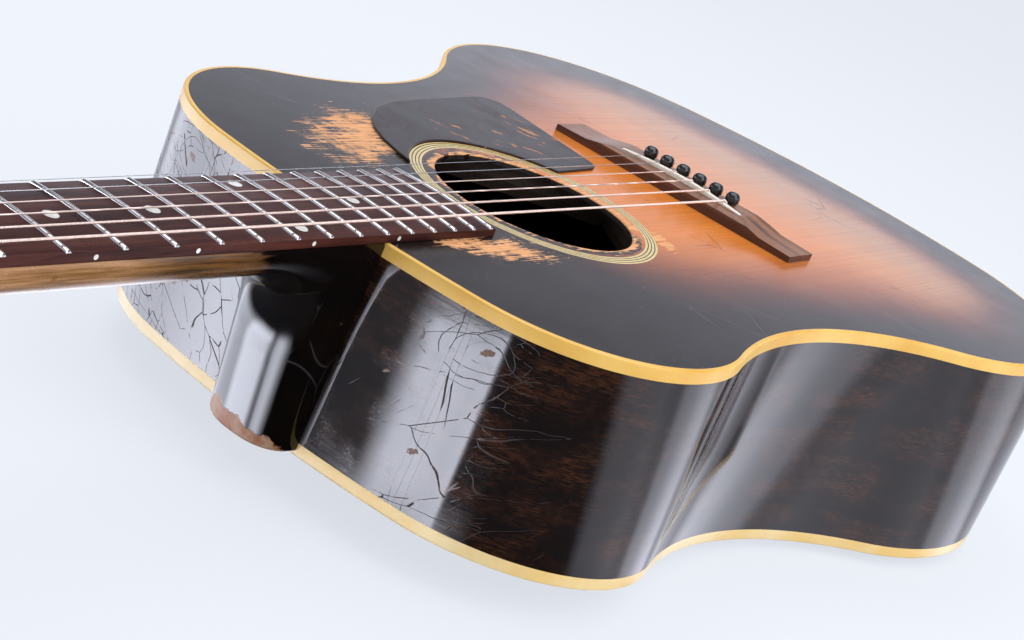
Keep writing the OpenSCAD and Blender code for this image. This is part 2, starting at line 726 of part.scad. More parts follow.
// Bone saddle, crowned along its length and rounded across its top
saddle_round = 0.9;
module saddle() color("#e9e3d0")
  let (a = asin(saddle_len / 2 / board_r), w = saddle_t / 2, q = w - saddle_round)
  intersection() {
    translate([saddle_x - w, -saddle_len / 2, bridge_h - saddle_seat])
      cube([saddle_t, saddle_len, saddle_seat + saddle_rise + 1]);
    translate([saddle_x, 0, saddle_top - board_r]) rotate([0, -90, 0])
      rotate_extrude(angle = 2 * a + 2, start = -a - 1, $fn = BALL_FN)
        polygon(concat([[board_r - 3 * saddle_seat, -w]],
          [for (k = [-4:4]) let (c = [board_r - saddle_round, q * sign(k)])
            c + saddle_round * [cos(90 * k / 4), sin(90 * k / 4)]],
          [[board_r - 3 * saddle_seat, w]]));
  }

pin_len = 22;
pin_taper = 0.5;
pin_collar_h = 0.9;
pin_head_z = 3.2;
pin_head_a = asin((pin_head_z - pin_collar_h) / pin_head_r);
pin_collar_r = pin_head_r * cos(pin_head_a) - slip;
module bridge_pins() color("#101010")
  for (i = [1:STRINGS]) translate([pin_x, saddle_y(i), bridge_h])
    rotate_extrude($fn = 48)
      polygon(concat([[0, -pin_len], [pin_hole_r - pin_taper, -pin_len], [pin_hole_r - slip, 0],
                      [pin_collar_r, 0], [pin_collar_r, pin_collar_h]],
        arc([0, pin_head_z], pin_head_r, -pin_head_a, 90, 8)));

// Turned head of the end pin: [radius, share of its height]
END_PIN = [[end_pin_flange_r, 0], [end_pin_flange_r, 0.22], [end_pin_waist_r, 0.38], [end_pin_waist_r, 0.55],
  [end_pin_cap_r, 0.75], [end_pin_cap_r, 0.85], [end_pin_cap_r * 0.8, 1]];
module end_pin() color("#101010")
  translate([-body_len, 0, end_pin_z]) rotate([0, -90, 0])
    rotate_extrude($fn = 48)
      polygon(concat([[0, -tail_block_t], [end_pin_r - end_pin_taper, -tail_block_t], [end_pin_r, clear]],
        [for (k = END_PIN) [k[0], max(clear, k[1] * end_pin_head)]], [[0, end_pin_head]]));

// Neck

SHAFT_SIDES = 28;
// D section: middle of its flat edge, depth vector, half width; the powers fill out flanks and belly
d_flank = 0.8;
d_belly = 0.9;
function d_ring(top, depth, w) =
  [for (k = [0:SHAFT_SIDES]) let (a = 180 * k / SHAFT_SIDES, c = cos(a))
    top + [0, w * sign(c) * pow(abs(c), d_flank), 0] + depth * pow(sin(a), d_belly)];
function neck_depth(x) = neck_d_nut + (neck_d_heel - neck_d_nut) * (nut_x - x) / (nut_x - heel_x);
function heel_half(z) = mix(board_half(0), heel_end_w / 2, z / heel_end_z);
// Where the headstock's back and the neck's back run into each other
volute_len = 40;
volute_sink = 1;
volute_bulge = 3;
function volute_ring(t) =
  let (high = -volute_len * t * tan(head_tilt) - volute_sink,
       low = mix(-neck_d_nut, -volute_len * tan(head_tilt) - head_t + volute_sink, t)
         - volute_bulge * sin(180 * t) * (1 - t))
  d_ring([nut_back + volute_len * t, 0, high], [0, 0, low - high], mix(nut_w / 2, nut_w / 3, t));
function shaft_ring(x) = d_ring([x, 0, 0], [0, 0, -neck_depth(x)], board_half(x));
// Sections fan round the hollow of the heel, from the neck to the body
function heel_ring(a) =
  let (dir = [-sin(a), 0, cos(a)], c = [heel_x, 0, heel_z],
       reach = a <= heel_corner ? -heel_z / cos(a) : (heel_x + 1) / sin(a),
       top = c + reach * dir, w = a <= heel_corner ? board_half(top[0]) : heel_half(top[2]))
  d_ring(top, (heel_curve_r - reach) * dir, w);
function foot_ring(z) =
  let (len = mix(heel_len, heel_end_len, (z - heel_z) / (heel_end_z - heel_z)))
  d_ring([-1, 0, z], [1 + len, 0, 0], heel_half(z));
VOLUTE_RINGS = 8;
HEEL_RINGS = 9;
FOOT_RINGS = 4;
neck_rings = concat(
  [for (k = [VOLUTE_RINGS:-1:1]) volute_ring(k / VOLUTE_RINGS)],
  [shaft_ring(nut_back - 0.5)],
  [for (k = [0:3]) shaft_ring(mix(nut_x, heel_x, k / 3))],
  [for (k = [1:HEEL_RINGS]) heel_ring(heel_corner * k / HEEL_RINGS)],
  [for (k = [1:HEEL_RINGS]) heel_ring(mix(heel_corner, 90, k / HEEL_RINGS))],
  [for (k = [1:FOOT_RINGS]) foot_ring(mix(heel_z, heel_end_z, k / FOOT_RINGS))]);

// Bass half of the headstock: flared from the nut, gently crowned at its end
flare_start = 6;
flare_end = 46;
head_corner = 12;
head_taper = 2.5;
head_crown = 8;
function head_half() = concat(
  [[0, nut_w / 2]],
  [for (k = [1:12]) let (t = k / 12)
    [mix(flare_start, flare_end, t), mix(nut_w / 2, head_w / 2, (1 - cos(180 * t)) / 2)]],
  [[head_len - head_corner, head_w / 2 - head_taper]],
  [for (k = [0:8]) let (t = 1 - k / 8) [head_len - head_crown * t * t, (head_w / 2 - flare_start) * t]]);
function head_outline() = let (h = head_half())
  concat(h, [for (k = [len(h) - 2:-1:0]) [h[k][0], -h[k][1]]]);

module truss_pocket()
  translate([nut_back + pocket_gap, -pocket_w / 2, -pocket_z]) cube([pocket_len, pocket_w, pocket_z + 10]);
module truss_channel()
  translate([rod_start - 2, -rod_r - slip, -rod_z - rod_r - slip])
    cube([nut_back - rod_start + 3, 2 * (rod_r + slip), rod_z + rod_r + 5]);
module screw_holes() {
  at_head() cover_screw_places() translate([0, 0, -screw_len])
    cylinder(r = screw_r + slip, h = screw_len + 20, $fn = 24);
  for (m = [0, 1]) at_head() mirror([0, m, 0]) plate_screw_places()
    translate([0, 0, -1]) cylinder(r = screw_r + slip, h = screw_len + 1, $fn = 24);
}

module neck() color("#3a2012")
  difference() {
    union() {
      difference() {
        polyhedron([for (r = neck_rings, p = r) p], skin_faces(len(neck_rings), SHAFT_SIDES + 1),
          convexity = 6);
        rim_prism(0, box_low, 20);
      }
      dovetail(0, tenon_top);
      at_head() translate([0, 0, -head_t]) linear_extrude(head_t) polygon(head_outline());
    }
    for (i = [1:STRINGS]) at_post(i) {
      translate([0, 0, -bushing_depth]) cylinder(r = bushing_r + slip, h = 20, $fn = 40);
      translate([0, 0, -head_t - 1]) cylinder(r = post_r + clear, h = head_t + 2, $fn = 32);
    }
    truss_pocket();
    truss_channel();
    screw_holes();
  }

module head_veneer() color("#120c0a")
  difference() {
    at_head() linear_extrude(veneer_t) polygon(head_outline());
    for (i = [1:STRINGS]) at_post(i) translate([0, 0, -1]) cylinder(r = bushing_r + slip, h = 10, $fn = 40);
    truss_pocket();
    screw_holes();
  }

module fretboard() color("#43201a")
  difference() {
    intersection() {
      linear_extrude(board_t + 1)
        polygon([[board_end, -board_half(board_end)], [board_end, board_half(board_end)],
                 [nut_x, nut_w / 2], [nut_x, -nut_w / 2]]);
      crowned(board_t, board_r, board_end - 10, nut_x + 10);
    }
    for (n = [1:fret_count]) let (half = board_half(fret_x(n)))
      translate([fret_x(n) - tang_w / 2 - slip, -half - 1, board_t - tang_h - seat - crown_drop(half)])
        cube([tang_w + 2 * slip, 2 * half + 2, tang_h + 5]);
    dot_places() translate([0, 0, -dot_depth]) cylinder(r = dot_r, h = 10, $fn = 32);
    side_dot_places() cylinder(r = side_dot_r, h = dot_depth + 1, $fn = 24);
  }

tang_w = 0.55;
tang_h = 1.4;
fret_seat = 0.02;
fret_end_gap = 0.15;
fret_bevel = 32;
// Half section of a fret's crown: [share of height, share of half width], base to top
FRET_CROWN = [[0, 1], [0.45, 0.94], [0.86, 0.55]];
function fret_section(r, w) =
  let (flank = [for (p = FRET_CROWN) [r + fret_h * p[0], w * p[1]]],
       half = concat([[r - tang_h, tang_w / 2], [r, tang_w / 2]], flank))
  concat([for (p = half) [p[0], -p[1]]], [[r + fret_h, 0]], [for (k = [len(half) - 1:-1:0]) half[k]]);
// Each fret follows the board's crown; its ends are filed to a slope over the board's edges
module frets() color("#d9d6cc")
  for (n = [1:fret_count])
    let (end = board_half(fret_x(n)) - fret_end_gap, a = asin(end / board_r))
    difference() {
      translate([fret_x(n), 0, board_t - board_r]) rotate([0, -90, 0])
        rotate_extrude(angle = 2 * a, start = -a, $fn = BALL_FN)
          polygon(fret_section(board_r + fret_seat, fret_w / 2));
      for (m = [0, 1]) mirror([0, m, 0]) translate([fret_x(n) - fret_w, end, board_t - crown_drop(end)])
        rotate([fret_bevel, 0, 0]) cube([2 * fret_w, fret_w, 2 * fret_h]);
    }

// Position dots: one on the board's middle, two at the twelfth fret, and small ones on the bass edge
DOT_FRETS = [3, 5, 7, 9, 15];
dot_r = 3;
side_dot_r = 1;
side_dot_z = 1.9;
dot_depth = 1.5;
twelfth_dot_y = 18.5;
function between(n) = (fret_x(n) + fret_x(n - 1)) / 2;
module dot_places() {
  for (n = DOT_FRETS) translate([between(n), 0, board_t]) children();
  for (y = [-twelfth_dot_y, twelfth_dot_y]) translate([between(12), y, board_t - crown_drop(y)]) children();
}
module side_dot_places()
  for (n = concat(DOT_FRETS, [12])) let (x = between(n))
    translate([x, board_half(x) - dot_depth, side_dot_z]) rotate([-90, 0, 0]) children();
module position_dots() color("#ece8dc") {
  intersection() {
    dot_places() translate([0, 0, -dot_depth]) cylinder(r = dot_r, h = 10, $fn = 32);
    crowned(board_t, board_r, board_end, nut_x);
  }
  intersection() {
    side_dot_places() cylinder(r = side_dot_r, h = dot_depth + 1, $fn = 24);
    linear_extrude(board_t)
      polygon([[board_end, 0], [board_end, board_half(board_end)], [nut_x, nut_w / 2], [nut_x, 0]]);
  }
}

nut_rise = 1.1;
nut_slot_air = 0.1;
module nut() color("#e9e3d0")
  difference() {
    intersection() {
      translate([nut_x, -nut_w / 2, 0]) cube([nut_t, nut_w, nut_string_z + nut_rise]);
      crowned(nut_string_z + nut_rise, board_r, nut_x - 1, nut_back + 1);
    }
    for (i = [1:STRINGS]) let (r = GAUGES[i - 1] / 2 + nut_slot_air)
      translate([nut_x - 1, nut_y(i), nut_string_z + GAUGES[i - 1] / 2 - crown_drop(nut_y(i))]) {
        rotate([0, 90, 0]) cylinder(r = r, h = nut_t + 2, $fn = 24);
        translate([0, -r, 0]) cube([nut_t + 2, 2 * r, 5]);
      }
  }

// Truss rod, with its adjusting nut in the pocket under the cover

rod_start = 32;
module truss_rod() color("#9a9a9a")
  translate([rod_start, 0, -rod_z]) rotate([0, 90, 0])
    cylinder(r = rod_r, h = truss_nut_x + truss_nut_len - 1 - rod_start, $fn = 32);
module truss_filler() color("#8a4b2a")
  translate([rod_start, -rod_r, -rod_z + rod_r + slip])
    cube([nut_x - rod_start, 2 * rod_r, rod_z - rod_r - 2 * slip]);
module truss_nut() color("#b08d4a")
  translate([truss_nut_x, 0, -rod_z]) rotate([0, 90, 0])
    difference() {
      cylinder(r = truss_nut_r, h = truss_nut_len, $fn = 6);
      translate([0, 0, -1]) cylinder(r = rod_r + slip, h = truss_nut_len + 2, $fn = 32);
    }

cover_len = 42;
cover_t = 1.8;
cover_r = 11;
cover_neck = 7.5;
cover_round_x = cover_len - cover_r - 1;
cover_screw = 7.6;
COVER_STEPS = 24;
module cover_shape()
  polygon(concat([[1, -cover_neck]], arc([cover_round_x, 0], cover_r, -90, 90, COVER_STEPS, 0),
                 [[1, cover_neck]]));
module cover_screw_places()
  for (p = [[cover_len - 5, 0], [2 * cover_screw, cover_screw], [2 * cover_screw, -cover_screw]])
    translate([p[0], p[1], 0]) children();
module truss_cover() color("#141010")
  at_head() translate([0, 0, veneer_t])
    difference() {
      linear_extrude(cover_t) cover_shape();
      cover_screw_places() translate([0, 0, -1]) cylinder(r = screw_r + slip, h = 10, $fn = 24);
    }

module wood_screw(len) union() {
  rotate_extrude($fn = 32) polygon(dome(screw_head_r, screw_head_h));
  translate([0, 0, -len]) cylinder(r = screw_r, h = len + 0.2, $fn = 24);
}
plate_screw_at = 0.42;
plate_screw_y = 6;
module plate_screw_places()
  for (k = [0, 1], m = [-1, 1])
    translate([post_first + post_step * (k + plate_screw_at), post_y + plate_screw_y * m, back_face])
      children();
module head_screws() color("#cfc8b4") {
  at_head() translate([0, 0, veneer_t + cover_t]) cover_screw_places() wood_screw(screw_len - 1);
  for (m = [0, 1]) at_head() mirror([0, m, 0]) plate_screw_places()
    translate([0, 0, -tuner_plate_t]) mirror([0, 0, 1]) wood_screw(screw_len - 1);
}

// Tuning machines: three to a plate, worm and gear open at the back

plate_fore = 7;
plate_aft = 11;
tuner_plate_half = 8.2;
plate_corner = 2.5;
module tuner_plates() color("#c9c3b0")
  for (m = [0, 1]) at_head() mirror([0, m, 0])
    difference() {
      union() {
        translate([post_first - mesh_gap - plate_fore, post_y - tuner_plate_half, plate_low])
          linear_extrude(tuner_plate_t)
            rounded(2 * post_step + mesh_gap + plate_fore + plate_aft, 2 * tuner_plate_half, plate_corner);
        for (k = [0:2], e = [-1, 1])
          translate([post_first + k * post_step - mesh_gap, post_y + e * (ear_y + ear_t / 2), 0]) ear();
      }
      for (k = [0:2]) translate([post_first + k * post_step, post_y, 0]) {
        translate([0, 0, plate_low - 1]) cylinder(r = post_r + slip, h = 5, $fn = 32);
        translate([-mesh_gap, 0, gear_z]) rotate([90, 0, 0])
          cylinder(r = spindle_r + slip, h = 4 * tuner_plate_half, center = true, $fn = 32);
      }
      plate_screw_places() translate([0, 0, -5]) cylinder(r = screw_r + slip, h = 10, $fn = 24);
    }
// A rectangle with round corners
module rounded(len, w, r) union() {
  translate([r, 0]) square([len - 2 * r, w]);
  translate([0, r]) square([len, w - 2 * r]);
  for (x = [r, len - r], y = [r, w - r]) translate([x, y]) circle(r = r, $fn = 32);
}
// An ear that carries the key's spindle, square at the plate and round at its tip
module ear()
  translate([0, ear_t / 2, 0]) rotate([90, 0, 0]) linear_extrude(ear_t)
    union() {
      translate([0, gear_z]) circle(r = ear_r, $fn = 32);
      translate([-ear_r, gear_z]) square([2 * ear_r, plate_low + tuner_plate_t / 5 - gear_z]);
    }

module post_bushings() color("#d4cfc0")
  for (i = [1:STRINGS]) at_post(i)
    rotate_extrude($fn = 40)
      polygon([[post_r + slip, -bushing_depth], [bushing_r, -bushing_depth], [bushing_r, veneer_t],
               [flange_r, veneer_t], [flange_r, veneer_t + flange_t],
               [flange_r - flange_slope, veneer_t + bushing_h], [post_r + slip, veneer_t + bushing_h]]);

// Gear with helical teeth that follow the worm's lead, on the post's square end
function gear_tooth(k) =
  let (a = 360 * k / gear_teeth, root = gear_r - gear_root, tip = gear_r + gear_tip,
       ra = tooth_base / 2 / root * 180 / PI, ta = tooth_crest / 2 / tip * 180 / PI)
  [for (p = [[root, a - ra], [tip, a - ta], [tip, a + ta], [root, a + ra]]) p[0] * [cos(p[1]), sin(p[1])]];
gear_twist = gear_t * tan(lead_a) / gear_r * 180 / PI;
module gear()
  difference() {
    translate([0, 0, gear_z])
      linear_extrude(gear_t, center = true, twist = gear_twist, slices = 1, convexity = 4)
        rotate(180 + gear_twist / 2) polygon([for (k = [0:gear_teeth - 1]) each gear_tooth(k)]);
    translate([-square_w / 2 - slip, -square_w / 2 - slip, gear_z - gear_t])
      cube([square_w + 2 * slip, square_w + 2 * slip, 2 * gear_t]);
  }
module post(i)
  difference() {
    union() {
      rotate_extrude($fn = 40)
        let (low = gear_z + gear_t / 2 + slip, waist = wind_low - 2 * wind_waist, cap = post_top - post_cap)
        polygon([[0, low], [post_r, low], [post_r, waist], [wind_r, waist + wind_waist],
                 [wind_r, cap - 2 * wind_waist], [post_r, cap], [post_r, post_top - 2 * wind_waist],
                 [post_r - 2 * wind_waist, post_top], [0, post_top]]);
      translate([-square_w / 2, -square_w / 2, gear_z - gear_t / 2])
        cube([square_w, square_w, gear_t + 2]);
    }
    translate([0, 0, coil_high(i)]) rotate([0, 0, side_of(i) * coil_hole_a(i)])
      rotate([0, 90, 0]) cylinder(r = coil_hole_r(i), h = 20, center = true, $fn = 24);
  }
module gear_screw()
  translate([0, 0, gear_z - gear_t / 2 - slip]) mirror([0, 0, 1])
    rotate_extrude($fn = 32) polygon(dome(gear_screw_r, gear_screw_h));
module winding(i)
  let (rings = tube_rings(coil_path(i), GAUGES[i - 1] / 2, 6, [0, 0, 1]))
  at_head() polyhedron([for (r = rings, p = r) p], skin_faces(len(rings), 6), convexity = 10);

module tuner_post(i) {
  color("#cfc8b4") at_post(i) post(i);
  color("#b79a5b") at_post(i) gear();
  color("#cfc8b4") at_post(i) gear_screw();
  color("#b87d4b") winding(i);
}

// Worm: one thread, whose cross section turns once in each pitch
function worm_edge(t) = [mix(180 * thread_base / thread_pitch, 180 * thread_crest / thread_pitch, t),
  mix(worm_r - worm_root, worm_r + worm_tip, t)];
function worm_section() =
  let (flank = [for (t = [0, 1 / 3, 2 / 3, 1]) worm_edge(t)], root = flank[0][0],
       points = concat(flank, [[flank[3][0] / 3, flank[3][1]], [-flank[3][0] / 3, flank[3][1]]],
         [for (k = [3:-1:0]) [-flank[k][0], flank[k][1]]],
         [for (k = [1:3]) [-root - (360 - 2 * root) * k / 4, flank[0][1]]]))
  [for (p = points) p[1] * [cos(p[0]), sin(p[0])]];
WORM_STEPS = 12;
worm_fit = 1.05;
module tuner_worm(i) color("#b79a5b")
  at_post(i) translate([-mesh_gap, 0, gear_z]) rotate([-90, 0, 0])
    difference() {
      linear_extrude(worm_len, center = true, twist = -360 * worm_len / thread_pitch,
        slices = round(WORM_STEPS * worm_len / thread_pitch), convexity = 10)
        rotate(-180 * worm_len / thread_pitch + 180)
          polygon([for (k = [len(worm_section()) - 1:-1:0]) worm_section()[k]]);
      cylinder(r = spindle_r * worm_fit, h = 2 * worm_len, center = true, $fn = 12);
    }

// Key: spindle through both ears and the worm, with an oval button outside the headstock
key_tail = 0.4;
collar_r = 2.7;
collar_t = 1.2;
button_round = 4.5;
button_flat = 0.62;
// Lower half section of the button: [radius, height]
BUTTON_NECK = [[0, 0], [2.6, 0], [3, 2.4], [button_r - 1.2, 5.4]];
module button()
  intersection() {
    rotate_extrude($fn = 64)
      polygon(concat(BUTTON_NECK,
        arc([button_r - button_round, button_len - button_round - 2], button_round, -10, 75, 6, 0),
        [[0, button_len - 1.6]]));
    translate([-button_r * button_flat, -2 * button_r, 0])
      cube([2 * button_r * button_flat, 4 * button_r, 2 * button_len]);
  }
module tuner_key(i) color("#e8dcc0")
  at_post(i) translate([-mesh_gap, 0, gear_z]) rotate([-90, 0, 0])
    union() {
      translate([0, 0, -ear_y - ear_t - key_tail])
        cylinder(r = spindle_r, h = ear_y + ear_t + button_start + 2, $fn = 32);
      translate([0, 0, ear_y + ear_t + clear]) cylinder(r = collar_r, h = collar_t, $fn = 32);
      translate([0, 0, button_start]) button();
    }

// Strings: ball end under the bridge plate, up past the pin, over saddle and nut, to the winding

ball_r = 2;
ball_len = 3;
ball_gap = 0.1;
function string_path(i) =
  let (d = GAUGES[i - 1], y = saddle_y(i), x = pin_x + string_rise_x,
       end = on_head(touch_point(i) - stand_off(i) * run_dir(i)),
       over = saddle_top - crown_drop(y) + d / 2 + slip,
       at_nut = nut_string_z + d / 2 - crown_drop(nut_y(i)))
  [[x, y, -top_t - plate_t - 2 * ball_r], [x, y, bridge_h + string_lip], [saddle_x - saddle_t / 2, y, over],
   [saddle_x + saddle_t / 2, y, over], [nut_x, nut_y(i), at_nut],
   [nut_back + string_lip, nut_y(i), at_nut], end];
module string_run(i) color(i > 2 ? "#c98f63" : "#c9ccd0") {
  let (rings = tube_rings(string_path(i), GAUGES[i - 1] / 2, 8, [0, 1, 0]))
    polyhedron([for (r = rings, p = r) p], skin_faces(len(rings), 8), convexity = 6);
}
module ball_end(i) color("#b79a5b")
  translate([pin_x + string_rise_x, saddle_y(i), -top_t - plate_t - 2 * ball_r - ball_gap]) mirror([0, 0, 1])
    cylinder(r = ball_r, h = ball_len, $fn = 32);
module string(i) {
  string_run(i);
  ball_end(i);
}

set_down() soundboard();
set_down() back();
set_down() bass_side();
set_down() treble_side();
set_down() neck_block();
set_down() tail_block();
set_down() top_lining();
set_down() back_lining();
set_down() cross_brace_bass();
set_down() cross_brace_treble();
set_down() top_braces();
set_down() bridge_plate();
set_down() back_braces();
set_down() back_strip();
set_down() top_binding();
set_down() back_binding();
set_down() rosette_pale();
set_down() rosette_dark();
set_down() pickguard();
set_down() bridge();
set_down() saddle();
set_down() bridge_pins();
set_down() end_pin();
set_down() neck();
set_down() head_veneer();
set_down() fretboard();
set_down() frets();
set_down() position_dots();
set_down() nut();
set_down() truss_rod();
set_down() truss_filler();
set_down() truss_nut();
set_down() truss_cover();
set_down() head_screws();
set_down() tuner_plates();
set_down() post_bushings();
for (i = [1:STRINGS]) {
  set_down() string(i);
  set_down() tuner_post(i);
  set_down() tuner_worm(i);
  set_down() tuner_key(i);
}
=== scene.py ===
import json
import logging
import math
from dataclasses import dataclass
from enum import Enum
from typing import Any, Callable, Sequence

import bmesh
import bpy
import numpy as np
from mathutils import Matrix, Vector


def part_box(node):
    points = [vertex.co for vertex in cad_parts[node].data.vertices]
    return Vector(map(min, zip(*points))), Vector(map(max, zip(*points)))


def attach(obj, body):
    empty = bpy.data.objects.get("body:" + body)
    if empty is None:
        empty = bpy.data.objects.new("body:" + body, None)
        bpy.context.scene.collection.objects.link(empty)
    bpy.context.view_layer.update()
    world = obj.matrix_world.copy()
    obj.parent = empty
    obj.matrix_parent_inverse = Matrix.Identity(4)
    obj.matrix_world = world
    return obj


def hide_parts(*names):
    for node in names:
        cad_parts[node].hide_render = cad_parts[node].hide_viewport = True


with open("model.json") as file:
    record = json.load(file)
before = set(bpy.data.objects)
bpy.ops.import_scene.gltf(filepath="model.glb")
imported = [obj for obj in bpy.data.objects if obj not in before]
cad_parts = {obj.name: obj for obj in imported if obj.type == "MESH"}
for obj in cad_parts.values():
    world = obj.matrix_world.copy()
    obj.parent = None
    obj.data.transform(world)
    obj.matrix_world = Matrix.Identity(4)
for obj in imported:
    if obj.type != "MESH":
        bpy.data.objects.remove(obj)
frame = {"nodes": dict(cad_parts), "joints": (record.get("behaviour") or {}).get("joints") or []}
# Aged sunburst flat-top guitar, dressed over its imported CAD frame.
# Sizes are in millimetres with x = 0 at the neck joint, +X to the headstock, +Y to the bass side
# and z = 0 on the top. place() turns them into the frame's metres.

LOG = logging.getLogger("guitar")
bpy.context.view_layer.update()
JOINT_X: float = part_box("top_binding")[1].x
TOP_Z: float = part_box("soundboard")[1].z
MM = 0.001
STRINGS = 6
TUBE_SIDES = 12
OCTAVE = 12
BATCH = 2000

Colour = tuple[float, float, float]
Point = tuple[float, float, float]
Plan = tuple[float, float]
Socket = bpy.types.NodeSocket
Material = bpy.types.Material
MeshData = bpy.types.Mesh
Piece = bpy.types.Object
Rings = Sequence[Sequence[Vector]]
Stops = tuple[Plan, ...]


class Part(Enum):
    """Names of the CAD bodies that pieces ride on."""

    GUITAR = "guitar"
    TRUSS = "truss_adjuster"


class Gauge(Enum):
    """Diameter of each string in millimetres, first to sixth."""

    FIRST = 0.32
    SECOND = 0.42
    THIRD = 0.62
    FOURTH = 0.82
    FIFTH = 1.08
    SIXTH = 1.36


GAUGES: list[float] = [g.value for g in Gauge]
TURNS: list[int] = [5, 5, 4, 3, 3, 3]


def place(x: float, y: float, z: float) -> Vector:
    """A point of the guitar's own millimetres in the frame's metres."""
    return Vector((JOINT_X + x * MM, y * MM, TOP_Z + z * MM))


def blend(a: float, b: float, t: float) -> float:
    """The value a share t of the way from a to b."""
    return a + (b - a) * t


# Shader building


class Val:
    """A number socket of a shader tree, whose arithmetic adds Math nodes."""

    def __init__(self, nodes: "Nodes", socket: Socket) -> None:
        """Wraps one output socket of a tree."""
        self.nodes = nodes
        self.socket = socket

    def __add__(self, other: Any) -> "Val":
        """Sum."""
        return self.nodes.math("ADD", self, other)

    __radd__ = __add__

    def __mul__(self, other: Any) -> "Val":
        """Product."""
        return self.nodes.math("MULTIPLY", self, other)

    __rmul__ = __mul__

    def __sub__(self, other: Any) -> "Val":
        """Difference."""
        return self.nodes.math("SUBTRACT", self, other)

    def __rsub__(self, other: Any) -> "Val":
        """Reflected difference."""
        return self.nodes.math("SUBTRACT", other, self)

    def __truediv__(self, other: Any) -> "Val":
        """Quotient."""
        return self.nodes.math("DIVIDE", self, other)

    def __pow__(self, other: Any) -> "Val":
        """Power."""
        return self.nodes.math("POWER", self, other)

    def __neg__(self) -> "Val":
        """The value with its sign turned."""
        return self.nodes.math("MULTIPLY", self, -1.0)

    def abs(self) -> "Val":
        """Size without sign."""
        return self.nodes.math("ABSOLUTE", self)

    def most(self, other: Any) -> "Val":
        """The larger of two values."""
        return self.nodes.math("MAXIMUM", self, other)

    def least(self, other: Any) -> "Val":
        """The smaller of two values."""
        return self.nodes.math("MINIMUM", self, other)


